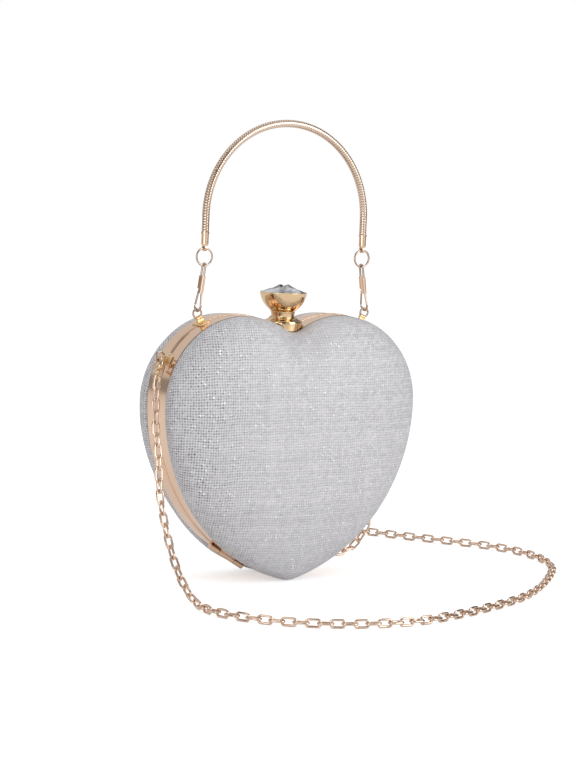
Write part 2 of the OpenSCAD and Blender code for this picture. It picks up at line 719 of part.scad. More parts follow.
// Lobster clasps, drawn downwards from the side loop's wire, leaning away from the frame
clasp_out = 24;
clasp_lean_left = 38;
clasp_lean_right = -36;
side_pivot = [lobe[0] + (lobe_r + side_lug_reach) * cos(side_lug_angle) + loop_r * sin(clasp_out), 0,
    (lobe_r + side_lug_reach) * sin(side_lug_angle) - loop_r * cos(clasp_out) + bag_z];
clasp_r = (clasp_d - clasp_wire) / 2;
clasp_z = clasp_r - (ring_wire + clasp_wire) / 2 - pivot_gap;
clasp_neck_z = clasp_z + clasp_r + clasp_wire / 4;
clasp_eye_z = clasp_neck_z + clasp_neck_l + clasp_eye_d / 2;
clasp_tab_t = 0.7;  // thickness of the end eye
clasp_ring_w = 0.7; // width of the end eye's ring
lever_low = -44;
lever_high = 8;
lever_gap = 5;
lever_tip_gap = 11;
lever_wire = clasp_wire - 2 * seat;

function clasp_way(side_sign, lean) = let (v = [side_sign * tan(clasp_out), -tan(lean), -1]) v / norm(v);
function clasp_place(side_sign) = [side_sign * side_pivot[0], 0, side_pivot[2]];

module at_clasp(side_sign, lean) {
    way = clasp_way(side_sign, lean);
    tilt_x = asin(-way[1]);
    tilt_y = atan2(way[0], -way[2]);
    translate(clasp_place(side_sign)) rotate([0, -tilt_y, 0]) rotate([-tilt_x, 0, 0])
        mirror([0, 0, 1]) children();
}

// Part of the bow, in the YZ plane, between two angles from the Y axis
module bow_part(from, to, wire) {
    translate([0, 0, clasp_z]) rotate([0, 0, 90]) rotate([90, 0, 0]) rotate([0, 0, from])
        rotate_extrude(angle = to - from) translate([clasp_r, 0]) circle(d = wire);
}

module clasp(side_sign, lean) {
    color(gold) at_clasp(side_sign, lean) {
        bow_part(-lever_low + lever_gap, 360 - lever_high - lever_tip_gap, clasp_wire);
        translate([0, 0, clasp_neck_z])
            cylinder(d = clasp_wire * 1.3, h = clasp_neck_l + clasp_ring_w * 3 / 4);
        difference() {
            translate([-clasp_tab_t / 2, 0, clasp_eye_z]) rotate([0, 90, 0])
                cylinder(d = clasp_eye_d, h = clasp_tab_t);
            translate([-clasp_tab_t, 0, clasp_eye_z]) rotate([0, 90, 0])
                cylinder(d = clasp_eye_d - 2 * clasp_ring_w, h = 2 * clasp_tab_t);
        }
    }
}

module clasp_lever(side_sign, lean) {
    color(gold) at_clasp(side_sign, lean) {
        bow_part(-lever_high, -lever_low, lever_wire);
        translate([0, clasp_r, clasp_z]) rotate([0, 90, 0]) translate([0, lever_wire / 2, -lever_wire / 3])
            cylinder(d = lever_wire, h = lever_wire * 2 / 3);
    }
}

// Route of the shoulder chain: down the left, along the surface in front, round behind and up the right
chain_from = clasp_place(-1) + clasp_eye_z * clasp_way(-1, clasp_lean_left);
chain_to = clasp_place(1) + clasp_eye_z * clasp_way(1, clasp_lean_right);
route = concat([chain_from], [[-80, -8.5, -145], [-80, -9, -158], [-80.5, -14, -173], [-81.5, -18, -189],
    [-82, -26, -206], [-81.5, -35, -222], [-81, -46, -234], [-81, -60, -240.8], [-82, -78, -240.8],
    [-75, -95, -240.8], [-62, -111, -240.8], [-45, -123, -240.8], [-23, -132, -240.8], [3, -135, -240.8],
    [30, -130, -240.8], [58, -121, -240.8], [86, -109, -240.8], [112, -91, -240.8], [135, -70, -240.8],
    [154, -49, -240.8], [165, -27, -240.8], [167, -3, -240.8], [160, 20, -240.8], [146, 42, -240.8],
    [130, 65, -240.8], [115, 88, -240.8], [96, 106, -240.8], [70, 110, -240.8], [45, 98, -240.8],
    [31, 76, -240.8], [36, 51, -240.8], [54, 36, -240.8], [70, 35, -240.8], [78, 35, -236.2],
    [82, 31, -225], [82, 27, -208], [81, 18, -182], [80, 9, -156]], [chain_to]);

// A smooth line through the route, and its run from the first clasp's eye
steps_each = 8;
steps_last = steps_each * (len(route) - 1);
function clamped(i) = route[max(0, min(len(route) - 1, i))];
function along(u) = let (i = min(floor(u), len(route) - 2), f = u - i,
        a = clamped(i - 1), b = clamped(i), c = clamped(i + 1), d = clamped(i + 2))
    b + f / 2 * (c - a) + f * f * (a - 2.5 * b + 2 * c - d / 2) + f * f * f / 2 * (3 * b - 3 * c + d - a);
line_points = [for (i = [0:steps_last]) along(i / steps_each)];
runs = [for (i = 0, s = 0; i <= steps_last;
    s = s + (i < steps_last ? norm(line_points[i + 1] - line_points[i]) : 0), i = i + 1) s];
tables = [for (axis = [0:2]) [for (i = [0:steps_last]) [runs[i], line_points[i][axis]]]];
function place_at(run) = [for (axis = [0:2]) lookup(run, tables[axis])];

// Links: their ends' wire centres lie on the line, and each end turns in the next link's
link_span = link_l - link_wire;
pitch_most = link_span - link_wire - pivot_gap;
link_count = 2 * ceil(((runs[steps_last] - link_span) / pitch_most + 1) / 2);
link_pitch = (runs[steps_last] - link_span) / (link_count - 1);
link_ends = [for (k = [0:link_count - 1]) [place_at(k * link_pitch), place_at(k * link_pitch + link_span)]];
link_mids = [for (ends = link_ends) (ends[0] + ends[1]) / 2];
link_ways = [for (ends = link_ends) let (v = ends[1] - ends[0]) v / norm(v)];

function squared(side, way) = let (v = side - (side * way) * way) v / norm(v);
function turn_about(from, to, axis) = atan2(cross(from, to) * axis, from * to);
function eye_axis(side_sign, lean) = let (w = clasp_way(side_sign, lean), a = atan2(w[0], -w[2]))
    [cos(a), 0, sin(a)];

// Sides that turn no more than the line does, then a slow twist: flat and upright links on the surface
carried = [for (k = 0, v = squared(eye_axis(-1, clasp_lean_left), link_ways[0]); k < link_count;
    k = k + 1, v = squared(v, link_ways[min(k, link_count - 1)])) v];
lowest = min([for (p = route) p[2]]);
lying = [for (k = [0:link_count - 1]) if (link_mids[k][2] < lowest + link_wire / 2) k];
lie_first = lying[0];
lie_last = lying[len(lying) - 1];
function nearest_turn(a) = a - 180 * round(a / 180);
lie_way = link_ways[lie_first];
lie_turn = nearest_turn(turn_about(carried[lie_first], cross(lie_way, [0, 0, 1]), lie_way));
end_way = link_ways[link_count - 1];
end_side = squared(cross(eye_axis(1, clasp_lean_right), end_way), end_way);
end_turn = lie_turn + nearest_turn(turn_about(carried[link_count - 1], end_side, end_way) - lie_turn);
function twist(k) = lookup(k,
    [[0, 0], [lie_first, lie_turn], [lie_last, lie_turn], [link_count - 1, end_turn]]);

// One link, long along Z and wide along X
module link() {
    r = (link_w - link_wire) / 2;
    leg = (link_l - link_w) / 2;
    for (s = [0, 180]) rotate([0, s, 0]) translate([0, 0, leg]) rotate([90, 0, 0])
        rotate_extrude(angle = 180) translate([r, 0]) circle(d = link_wire);
    for (x = [-r, r]) translate([x, 0, -leg]) cylinder(d = link_wire, h = 2 * leg);
}

module chain_run(first, last) {
    color(gold) for (k = [first:last]) let (
            w = link_ways[k],
            t = twist(k) + 90 * (k % 2),
            x = cos(t) * carried[k] + sin(t) * cross(w, carried[k]),
            y = cross(w, x),
            c = link_mids[k])
        multmatrix([[x[0], y[0], w[0], c[0]], [x[1], y[1], w[1], c[1]], [x[2], y[2], w[2], c[2]],
                [0, 0, 0, 1]])
            link();
}

// The chain's three runs: hanging on the left, lying in front, and lying and rising on the right
chain_cuts = [floor(link_count / 3), floor(2 * link_count / 3)];

handle_chain();
ferrule(-arch_r);  // ferrule_left
ferrule(arch_r);  // ferrule_right
handle_ring(-arch_r);  // handle_ring_left
handle_ring(arch_r);  // handle_ring_right
hook_wire(-arch_r);  // hook_wire_left
hook_wire(arch_r);  // hook_wire_right
hook_sleeve(-arch_r);  // hook_sleeve_left
hook_sleeve(arch_r);  // hook_sleeve_right
hook_gate(-arch_r);  // hook_gate_left
hook_gate(arch_r);  // hook_gate_right
back_frame();
in_bag() as_back() shell_half();  // back_shell
in_bag() as_back() cover_half();  // back_cover
in_bag() as_back() lining_half();  // back_lining
handle_lug(-1);  // handle_lug_left
handle_lug(1);  // handle_lug_right
side_lug(-1);  // side_lug_left
side_lug(1);  // side_lug_right
hinge_back_leaf();
hinge_pin();
knob_saddle();
latch_bracket();
latch_spring();
knob_cup();
knob_crystal();
latch_tongue();
front_frame();
in_bag() shell_half();  // front_shell
in_bag() cover_half();  // front_cover
in_bag() lining_half();  // front_lining
hinge_front_leaf();
catch_spring();
clasp(-1, clasp_lean_left);  // clasp_left
clasp(1, clasp_lean_right);  // clasp_right
clasp_lever(-1, clasp_lean_left);  // clasp_lever_left
clasp_lever(1, clasp_lean_right);  // clasp_lever_right
chain_run(0, chain_cuts[0] - 1);  // chain_left
chain_run(chain_cuts[0], chain_cuts[1] - 1);  // chain_front
chain_run(chain_cuts[1], link_count - 1);  // chain_right
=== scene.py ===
"""Looks of the heart shaped purse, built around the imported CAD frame."""
import json
import math

import bmesh
import bpy
import numpy as np
from mathutils import Matrix, Vector


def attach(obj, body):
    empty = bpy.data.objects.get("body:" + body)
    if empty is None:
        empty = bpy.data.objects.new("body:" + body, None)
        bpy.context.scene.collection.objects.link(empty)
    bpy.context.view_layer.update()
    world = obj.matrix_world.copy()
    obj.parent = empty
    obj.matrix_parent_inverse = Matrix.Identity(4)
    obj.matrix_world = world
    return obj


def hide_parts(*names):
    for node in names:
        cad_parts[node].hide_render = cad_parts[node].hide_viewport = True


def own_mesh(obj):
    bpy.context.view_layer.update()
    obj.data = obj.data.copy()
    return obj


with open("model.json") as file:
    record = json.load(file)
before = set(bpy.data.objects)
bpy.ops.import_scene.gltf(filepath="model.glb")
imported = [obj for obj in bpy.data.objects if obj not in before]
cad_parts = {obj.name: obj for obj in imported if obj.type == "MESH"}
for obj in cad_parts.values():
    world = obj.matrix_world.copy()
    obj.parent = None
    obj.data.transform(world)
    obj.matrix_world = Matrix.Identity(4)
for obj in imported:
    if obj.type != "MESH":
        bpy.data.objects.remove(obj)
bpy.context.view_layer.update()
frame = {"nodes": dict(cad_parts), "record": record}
nodes = frame["nodes"]
MM = 0.001

# Sizes of the heart frame and its padded halves, in millimetres, as in the CAD source
FRAME_W, LOBE_R, SIDE_R, TIP_R, CLEFT_R, TIP_DROP = 150, 45, 97, 11, 11.3, 84.6
HALF_D, FRAME_T, PARTING, BEAD_W, BEAD_H = 10.5, 1.2, 0.3, 1.0, 0.5
LEDGE_W, LEDGE_T, SPIGOT = 3.0, 1.1, 4.0
DOME_RISE, EDGE_RISE, OVERHANG, FULLNESS = 21.4, 2.5, 1.2, 2.67
CROWN_R, CROWN_DROP, COVER_T, SHELL_T, LINING_T = 70, 18, 0.8, 1.6, 0.6
BAG_Z = -146.445
SEAT, SKIN_GAP, RUN_GAP = 0.1, 0.15, 0.3
ARCH_R, LEG_L, SNAKE_D = 49.4, 8.8, 4.0
HINGE_ANGLE, HINGE_L, KNUCKLE_D = 58, 24, 3.0
ROD_D, SADDLE_D = 4.0, 20.8
LUG_W, LUG_D, LOOP_R, LUG_ANGLE, SIDE_LUG_ANGLE, LUG_CLEAR = 5.6, 10.0, 2.45, 63.77, 28.0, 4.3
FLOOR_Z = -243.3


def unit(v):
    v = np.asarray(v, float)
    return v / np.linalg.norm(v)


def circle(count):
    """Angles of so many even steps round a circle."""
    return [2 * math.pi * i / count for i in range(count)]


def linked(name, data):
    """A new object of this data in the scene."""
    made = bpy.data.objects.new(name, data)
    bpy.context.scene.collection.objects.link(made)
    return made


# Camera at the photograph's viewing angle
camera_data = bpy.data.cameras.new("camera")
camera = linked("camera", camera_data)
camera_data.lens = 99.1
camera_data.sensor_width = 36
camera_data.clip_start, camera_data.clip_end = 0.05, 30
right = Vector((0.84959, -0.52599, 0.03922))
up = Vector((0.02228, 0.11006, 0.99368))
back = Vector((-0.52697, -0.84335, 0.10522))
turn = Matrix((right, up, back)).transposed().to_4x4()
camera.matrix_world = Matrix.Translation((-0.5955, -0.9612, -0.0193)) @ turn
bpy.context.scene.camera = camera


# Mesh helpers
def new_piece(name, points, faces):
    """A mesh object from points in millimetres of the frame."""
    mesh = bpy.data.meshes.new(name)
    mesh.from_pydata([tuple(float(c) * MM for c in p) for p in points], [], faces)
    return linked(name, mesh)


def add_mesh(name, points, faces, body, material, smooth_angle, second=None, marked=None):
    """A mesh piece on a body; marked faces, by their number, get the second material."""
    piece = new_piece(name, points, faces)
    mesh = piece.data
    mesh.materials.append(material)
    if second:
        mesh.materials.append(second)
        for face in mesh.polygons:
            face.material_index = int(marked(face.index))
    tidy_mesh(piece, smooth_angle)
    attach(piece, body)
    return piece


def tidy_mesh(piece, smooth_angle):
    """Merges points that coincide, turns normals outwards and marks sharp edges."""
    work = bmesh.new()
    work.from_mesh(piece.data)
    bmesh.ops.remove_doubles(work, verts=work.verts, dist=1e-7)
    bmesh.ops.dissolve_degenerate(work, edges=work.edges, dist=1e-7)
    bmesh.ops.recalc_face_normals(work, faces=work.faces)
    work.to_mesh(piece.data)
    work.free()
    piece.data.shade_smooth()
    piece.data.set_sharp_from_angle(angle=math.radians(smooth_angle))


def loft(rings, closed=False, first_tip=None, last_tip=None):
    """Faces between rings of as many points; the ends get a tip point, a cap, or join up."""
    n = len(rings[0])
    points = [p for ring in rings for p in ring]
    faces = []
    count = len(rings)
    for j in range(count if closed else count - 1):
        a, b = j * n, ((j + 1) % count) * n
        faces += [(a + i, a + (i + 1) % n, b + (i + 1) % n, b + i) for i in range(n)]
    if closed:
        return points, faces
    for tip, base in ((first_tip, 0), (last_tip, (count - 1) * n)):
        if tip is None:
            faces.append(tuple(range(base, base + n)))
        else:
            points.append(tip)
            faces += [(base + i, base + (i + 1) % n, len(points) - 1) for i in range(n)]
    return points, faces


def smooth_line(points, per_step):
    """A spline through the points, with so many places a step."""
    points = np.array(points, float)
    last = len(points) - 1
    made = []
    for i in range(last):
        a, b, c, d = (points[max(0, min(last, k))] for k in (i - 1, i, i + 1, i + 2))
        for f in np.arange(per_step) / per_step:
            made.append(b + f / 2 * (c - a) + f * f * (a - 2.5 * b + 2 * c - d / 2)
                        + f ** 3 / 2 * (3 * b - 3 * c + d - a))
    made.append(points[-1])
    return np.array(made)


# Node helpers for materials, the floor and the world
class Nodes:
    """Adds nodes to a tree; each input is given as a value or as a socket to link."""

    def __init__(self, tree):
        self.tree = tree

    def node(self, kind, *inputs, **settings):
        made = self.tree.nodes.new(kind)
        for key, value in settings.items():
            setattr(made, key, value)
        for index, value in enumerate(inputs):
            self.join(value, made.inputs[index])
        return made

    def join(self, value, socket):
        if value is None:
            return
        if isinstance(value, bpy.types.NodeSocket):
            self.tree.links.new(value, socket)
        else:
            socket.default_value = value

    def math(self, operation, a, b=None):
        return self.node("ShaderNodeMath", a, b, operation=operation).outputs[0]

    def rays(self, *kinds):
        """One where a ray of any of these kinds arrives, else zero."""
        path = self.node("ShaderNodeLightPath").outputs
        any_kind = path[kinds[0]]
        for kind in kinds[1:]:
            any_kind = self.math("MAXIMUM", any_kind, path[kind])
        return any_kind


class Shader(Nodes):
    """A principled material whose maps are built from nodes."""

    def __init__(self, name, **sockets):
        self.material = bpy.data.materials.new(name)
        self.material.use_nodes = True
        super().__init__(self.material.node_tree)
        self.surface = self.tree.nodes["Principled BSDF"]
        for key, value in sockets.items():
            self.surface.inputs[key.replace("_", " ")].default_value = value

    def vector(self, operation, a, b=None):
        return self.node("ShaderNodeVectorMath", a, b, operation=operation).outputs[0]

    def place(self):
        return self.node("ShaderNodeTexCoord").outputs["Object"]

    def noise(self, where, scale, detail=2.0, rough=0.5, output="Fac"):
        made = self.node("ShaderNodeTexNoise")
        self.join(where, made.inputs["Vector"])
        for socket, value in (("Scale", scale), ("Detail", detail), ("Roughness", rough)):
            made.inputs[socket].default_value = value
        return made.outputs[output]

    def random(self, place, dimensions="3D"):
        """Outputs of a random draw for each place, a vector or, in 1D, a number."""
        made = self.node("ShaderNodeTexWhiteNoise", noise_dimensions=dimensions)
        self.join(place, made.inputs["W" if dimensions == "1D" else "Vector"])
        return made.outputs

    def ramp(self, factor, *stops):
        made = self.node("ShaderNodeValToRGB", factor)
        while len(made.color_ramp.elements) < len(stops):
            made.color_ramp.elements.new(0.5)
        for element, (position, colour) in zip(made.color_ramp.elements, stops):
            element.position = position
            element.color = (*colour, 1)
        return made.outputs["Color"]

    def span(self, factor, low, high, to_low=0.0, to_high=1.0):
        made = self.node("ShaderNodeMapRange")
        for index, value in enumerate((factor, low, high, to_low, to_high)):
            self.join(value, made.inputs[index])
        return made.outputs[0]

    def mix(self, factor, a, b):
        made = self.node("ShaderNodeMix", data_type="RGBA", blend_type="MIX")
        self.join(factor, made.inputs["Factor"])
        colour = [s for s in made.inputs if s.type == "RGBA"]
        self.join(a if isinstance(a, bpy.types.NodeSocket) else (*a, 1), colour[0])
        self.join(b if isinstance(b, bpy.types.NodeSocket) else (*b, 1), colour[1])
        return [s for s in made.outputs if s.type == "RGBA"][0]

    def bump(self, height, strength, distance):
        made = self.node("ShaderNodeBump")
        made.inputs["Strength"].default_value = strength
        made.inputs["Distance"].default_value = distance
        self.join(height, made.inputs["Height"])
        return made.outputs["Normal"]

    def set(self, socket, value):
        self.join(value, self.surface.inputs[socket])


def polished_gold(name, base, deep, roughness):
    """Plated metal: a slow drift of tone, faint handling marks and fine hairlines."""
    s = Shader(name, Metallic=1.0)
    where = s.place()
    drift = s.noise(where, 28, 3)
    tone = s.ramp(drift, (0.3, base), (0.72, deep))
    specks = s.span(s.noise(where, 900, 2, 0.7), 0.66, 0.74)
    s.set("Base Color", s.mix(s.math("MULTIPLY", specks, 0.35), tone, tuple(0.55 * c for c in deep)))
    marks = s.noise(where, 160, 4, 0.65)
    stretched = s.node("ShaderNodeMapping", where)
    stretched.inputs["Scale"].default_value = (900, 60, 900)
    hairline = s.noise(stretched.outputs[0], 1.0, 2, 0.6)
    smudge = s.span(marks, 0.35, 0.75, roughness * 0.75, roughness * 1.7)
    s.set("Roughness", s.math("ADD", smudge, s.math("MULTIPLY", specks, 0.2)))
    height = s.math("ADD", s.math("MULTIPLY", hairline, 0.5), s.math("MULTIPLY", marks, 0.5))
    s.set("Normal", s.bump(height, 0.12, 0.00004))
    return s.material


# The mesh cloth: its cells and how far they stray, in millimetres, the stretch to the left over which its
# dots darken, painted shade of the side that turns away, and its tones
CELL, WANDER, JITTER = (1.4, 1.45, 1.0), (2.4, 2.4, 0), (1.1, 0.7, 0)
LEFT_FROM, LEFT_TO = -22, -64
CELL_SHADE, GROOVE_SHADE, DOT_SHADE = (0.40, 0.40, 0.42), (0.26, 0.26, 0.285), (0.085, 0.088, 0.12)
GLINT, ROSY_GLINT = (1.0, 1.0, 1.0), (0.95, 0.66, 0.66)


def glitter_mesh(name):
    """Silver mesh of small square cells with dark dots at their corners and painted glints on some of them.
    """
    s = Shader(name, Metallic=0.2, Specular_IOR_Level=0.6)
    cloth = s.node("ShaderNodeAttribute", attribute_name="cloth_mm").outputs["Vector"]

    def strayed(scale, reach):
        from_middle = s.vector("SUBTRACT", s.noise(cloth, scale, output="Color"), (0.5, 0.5, 0.5))
        return s.vector("MULTIPLY", from_middle, reach)

    laid = s.vector("ADD", s.vector("ADD", cloth, strayed(0.05, WANDER)), strayed(0.75, JITTER))
    cells = s.vector("DIVIDE", laid, CELL)
    split = s.node("ShaderNodeSeparateXYZ", cells)
    from_mid_u, from_mid_v = (s.math("ABSOLUTE", s.math("SUBTRACT", s.math("FRACT", split.outputs[k]), 0.5))
                              for k in (0, 1))
    squares = [s.math("POWER", s.math("SUBTRACT", 0.5, side), 2.0) for side in (from_mid_u, from_mid_v)]
    to_corner = s.math("SQRT", s.math("ADD", *squares))
    upright = s.math("MULTIPLY", s.span(from_mid_u, 0.31, 0.5), 0.75)
    groove = s.math("MAXIMUM", upright, s.span(from_mid_v, 0.32, 0.5))
    knot = s.random(s.vector("FLOOR", s.vector("ADD", cells, (0.5, 0.5, 0.0))))["Value"]
    dot = s.math("MULTIPLY", s.span(to_corner, 0.43, 0.14), s.span(knot, 0, 1, 0.45, 1.3))
    chance = s.random(s.vector("FLOOR", cells))
    dice, faces = chance["Value"], chance["Color"]
    yarn = s.random(s.math("FLOOR", split.outputs[1]), "1D")["Value"]
    strand = s.random(s.math("ADD", s.math("FLOOR", split.outputs[0]), 0.37), "1D")["Value"]
    fleck = s.noise(s.vector("MULTIPLY", cloth, (2.6, 2.6, 2.6)), 1.0, 3, 0.75)
    patch = s.noise(s.vector("MULTIPLY", cloth, (0.16, 0.10, 0.1)), 1.0, 3, 0.6)
    ground = s.ramp(fleck, (0.30, (0.55, 0.537, 0.562)), (0.52, (0.765, 0.749, 0.769)),
                    (0.74, (0.96, 0.943, 0.957)))
    left_painted_shade = s.span(s.node("ShaderNodeSeparateXYZ", cloth).outputs[0], LEFT_FROM, LEFT_TO)
    pulled = s.span(yarn, 0.90, 0.97)
    uneven = s.math("ADD", s.math("MULTIPLY", yarn, 0.16), s.math("MULTIPLY", strand, 0.08))
    shade = s.mix(s.math("ADD", s.math("MULTIPLY", dice, 0.22), uneven), ground, CELL_SHADE)
    weave = s.math("ADD", 0.26, s.math("MULTIPLY", pulled, 0.14))
    lined = s.mix(s.math("MULTIPLY", groove, weave), shade, GROOVE_SHADE)
    # Dots darken towards the left: painted shade of the side that turns away
    depth = s.math("MULTIPLY", s.span(patch, 0.35, 0.65, 0.55, 1.0), s.span(left_painted_shade, 0, 1, 0.27, 0.98))
    dotted = s.mix(s.math("MINIMUM", s.math("MULTIPLY", dot, depth), 1.0), lined, DOT_SHADE)
    centre = s.math("SUBTRACT", 1.0, s.span(s.math("MAXIMUM", from_mid_u, from_mid_v), 0.26, 0.46))
    # White and rosy cells in the base colour are painted glints
    glint = s.math("MULTIPLY", s.span(dice, 0.90, 1.0), s.span(patch, 0.40, 0.62, 0.25, 1.0))
    bright = s.math("MULTIPLY", glint, centre)
    rosy = s.math("MULTIPLY", s.math("LESS_THAN", dice, 0.0022), centre)
    lit = s.mix(bright, dotted, GLINT)
    s.set("Base Color", s.mix(s.math("MULTIPLY", rosy, 0.35), lit, ROSY_GLINT))
    dull = s.span(fleck, 0.3, 0.7, 0.6, 0.36)
    s.set("Roughness", s.math("SUBTRACT", dull, s.math("MULTIPLY", bright, 0.22)))
    pillow = s.math("SUBTRACT", 1.0, s.math("MAXIMUM", s.math("MULTIPLY", groove, 0.7), dot))
    grain = s.noise(s.vector("MULTIPLY", cloth, (7.0, 7.0, 7.0)), 1.0, 2, 0.6)
    height = s.math("ADD", pillow, s.math("MULTIPLY", grain, 0.55))
    rough_normal = s.bump(height, 0.55, 0.00022)
    tilt = s.vector("MULTIPLY", s.vector("SUBTRACT", faces, (0.5, 0.5, 0.5)), (0.3, 0.3, 0.3))
    s.set("Normal", s.vector("NORMALIZE", s.vector("ADD", rough_normal, tilt)))
    return s.material


def satin(name):
    """Pale satin: fine diagonal weave with a soft sheen and slow waves."""
    s = Shader(name, Metallic=0.0, Sheen_Weight=0.5, Sheen_Roughness=0.35)
    where = s.place()
    weave = s.node("ShaderNodeTexWave", bands_direction="DIAGONAL")
    weave.inputs["Scale"].default_value = 900
    weave.inputs["Distortion"].default_value = 0.4
    s.join(where, weave.inputs["Vector"])
    waves = s.noise(where, 45, 3)
    s.set("Base Color", s.ramp(waves, (0.3, (0.55, 0.52, 0.49)), (0.7, (0.68, 0.65, 0.62))))
    s.set("Roughness", s.span(waves, 0.3, 0.7, 0.34, 0.5))
    height = s.math("ADD", s.math("MULTIPLY", weave.outputs["Fac"], 0.3), waves)
    s.set("Normal", s.bump(height, 0.35, 0.0003))
    return s.material


def grained(name, metallic, grain, tone, dark, light, roughness, relief):
    """A plain surface with a fine grain; its tone follows a slower noise, or else the grain."""
    s = Shader(name, Metallic=metallic)
    where = s.place()
    fine = s.noise(where, *grain)
    slow = s.noise(where, *tone) if tone else fine
    s.set("Base Color", s.ramp(slow, (0.3, dark), (0.7, light)))
    s.set("Roughness", s.span(fine, 0.3, 0.7, *roughness))
    s.set("Normal", s.bump(fine, 0.2, relief))
    return s.material


def cut_glass(name):
    """Clear cut stone with a silvered back: it mirrors in cool greys, with a trace of haze in its polish."""
    s = Shader(name, Metallic=0.93, Coat_Weight=1.0, Coat_Roughness=0.02)
    where = s.place()
    haze = s.noise(where, 350, 3)
    cloudy = s.noise(where, 120, 2)
    s.set("Base Color", s.ramp(cloudy, (0.35, (0.26, 0.27, 0.29)), (0.65, (0.52, 0.53, 0.55))))
    s.set("Roughness", s.span(haze, 0.4, 0.8, 0.03, 0.12))
    s.set("Normal", s.bump(haze, 0.04, 0.00003))
    return s.material


gold = polished_gold("champagne_gold", (0.91, 0.665, 0.50), (0.85, 0.60, 0.43), 0.13)
bright_gold = polished_gold("bright_gold", (0.83, 0.66, 0.54), (0.745, 0.575, 0.46), 0.12)
ring_gold = polished_gold("ring_gold", (0.70, 0.57, 0.475), (0.50, 0.39, 0.32), 0.09)
amber_gold = polished_gold("amber_gold", (0.85, 0.62, 0.375), (0.73, 0.50, 0.275), 0.07)
wire_gold = polished_gold("wire_gold", (0.88, 0.68, 0.54), (0.74, 0.55, 0.43), 0.09)
clasp_gold = polished_gold("clasp_gold", (0.88, 0.68, 0.48), (0.66, 0.47, 0.30), 0.06)
lug_gold = polished_gold("lug_gold", (0.95, 0.72, 0.44), (0.89, 0.64, 0.36), 0.36)
# Dark metal for the band's gaps and the handle's grooves: painted shade, with some grime in the grooves
grime_and_shade_gold = grained("grime_and_shade_gold", 1.0, (700, 3), None, (0.20, 0.125, 0.08), (0.36, 0.24, 0.16),
                      (0.3, 0.5), 0.00003)
cloth = glitter_mesh("glitter_mesh")
lining_cloth = satin("satin_lining")
shell_plastic = grained("moulded_shell", 0.0, (1500, 2), (30, 2), (0.40, 0.40, 0.42), (0.48, 0.48, 0.50),
                        (0.45, 0.62), 0.00005)
spring_wire = grained("spring_wire", 1.0, (1200, 3), None, (0.42, 0.42, 0.44), (0.62, 0.61, 0.60),
                      (0.22, 0.4), 0.00003)
glass = cut_glass("cut_glass")

# The shoulder chain's route, in metres, the same points as in the CAD source
CHAIN_START = (-0.07799, -0.00561, -0.13257)
CHAIN_END = (0.07806, 0.00534, -0.13274)
ROUTE = [CHAIN_START, (-0.080, -0.0085, -0.145), (-0.080, -0.009, -0.158), (-0.0805, -0.014, -0.173),
         (-0.0815, -0.018, -0.189), (-0.082, -0.026, -0.206), (-0.0815, -0.035, -0.222),
         (-0.081, -0.046, -0.234), (-0.081, -0.060, -0.2408), (-0.082, -0.078, -0.2408),
         (-0.075, -0.095, -0.2408), (-0.062, -0.111, -0.2408), (-0.045, -0.123, -0.2408),
         (-0.023, -0.132, -0.2408), (0.003, -0.135, -0.2408), (0.030, -0.130, -0.2408),
         (0.058, -0.121, -0.2408), (0.086, -0.109, -0.2408), (0.112, -0.091, -0.2408),
         (0.135, -0.070, -0.2408), (0.154, -0.049, -0.2408), (0.165, -0.027, -0.2408),
         (0.167, -0.003, -0.2408), (0.160, 0.020, -0.2408), (0.146, 0.042, -0.2408),
         (0.130, 0.065, -0.2408), (0.115, 0.088, -0.2408), (0.096, 0.106, -0.2408),
         (0.070, 0.110, -0.2408), (0.045, 0.098, -0.2408), (0.031, 0.076, -0.2408),
         (0.036, 0.051, -0.2408), (0.054, 0.036, -0.2408), (0.070, 0.035, -0.2408),
         (0.078, 0.035, -0.2362), (0.082, 0.031, -0.225), (0.082, 0.027, -0.208), (0.081, 0.018, -0.182),
         (0.080, 0.009, -0.156), CHAIN_END]
LINK_L, LINK_W, LINK_WIRE, LINK_PLAY = 8.7, 4.9, 1.3, 0.1
CLASP_EYE = 9.65     # from the side loop's wire to the middle of the clasp's end eye
FIRST_SIDE = (0.9135, 0, -0.4067)
LAST_SIDE = (0.9135, 0, 0.4067)


def turned(side, way, angle):
    return math.cos(angle) * side + math.sin(angle) * np.cross(way, side)


def squared(side, way):
    return unit(side - (side @ way) * way)


def angle_between(a, b, axis):
    return math.atan2(float(np.cross(a, b) @ axis), float(a @ b))


def nearest_turn(angle):
    """The same line's angle, at most a quarter turn either way."""
    return angle - math.pi * round(angle / math.pi)


def link_points(centre, way, side):
    """Rings of one link, long along way and wide along side."""
    leg = (LINK_L - LINK_W) / 2
    bend = (LINK_W - LINK_WIRE) / 2
    across = np.cross(way, side)
    turns, round_steps = 9, 12
    core = []
    for sign in (1, -1):
        for i in range(turns):
            a = math.pi * i / (turns - 1)
            out = sign * (math.cos(a) * side + math.sin(a) * way)
            core.append((centre + sign * leg * way + bend * out, out))
    return [[at + LINK_WIRE / 2 * (math.cos(b) * out + math.sin(b) * across) for b in circle(round_steps)]
            for at, out in core]


def join_lofts(parts):
    """One list of points and faces from several, with the index of the first face of each."""
    points, faces, starts = [], [], []
    for p, f in parts:
        starts.append(len(faces))
        faces += [tuple(len(points) + v for v in face) for face in f]
        points += p
    return points, faces, starts


def torus_rings(centre, first, second, radius, wire):
    """Rings of a wire ring in the plane of two directions."""
    centre, first, second = (np.array(v, float) for v in (centre, first, second))
    third = np.cross(first, second)
    steps, round_steps = 48, 14
    rings = []
    for a in circle(steps):
        out = math.cos(a) * first + math.sin(a) * second
        rings.append([centre + out * (radius + wire / 2 * math.cos(b)) + third * (wire / 2 * math.sin(b))
                      for b in circle(round_steps)])
    return rings


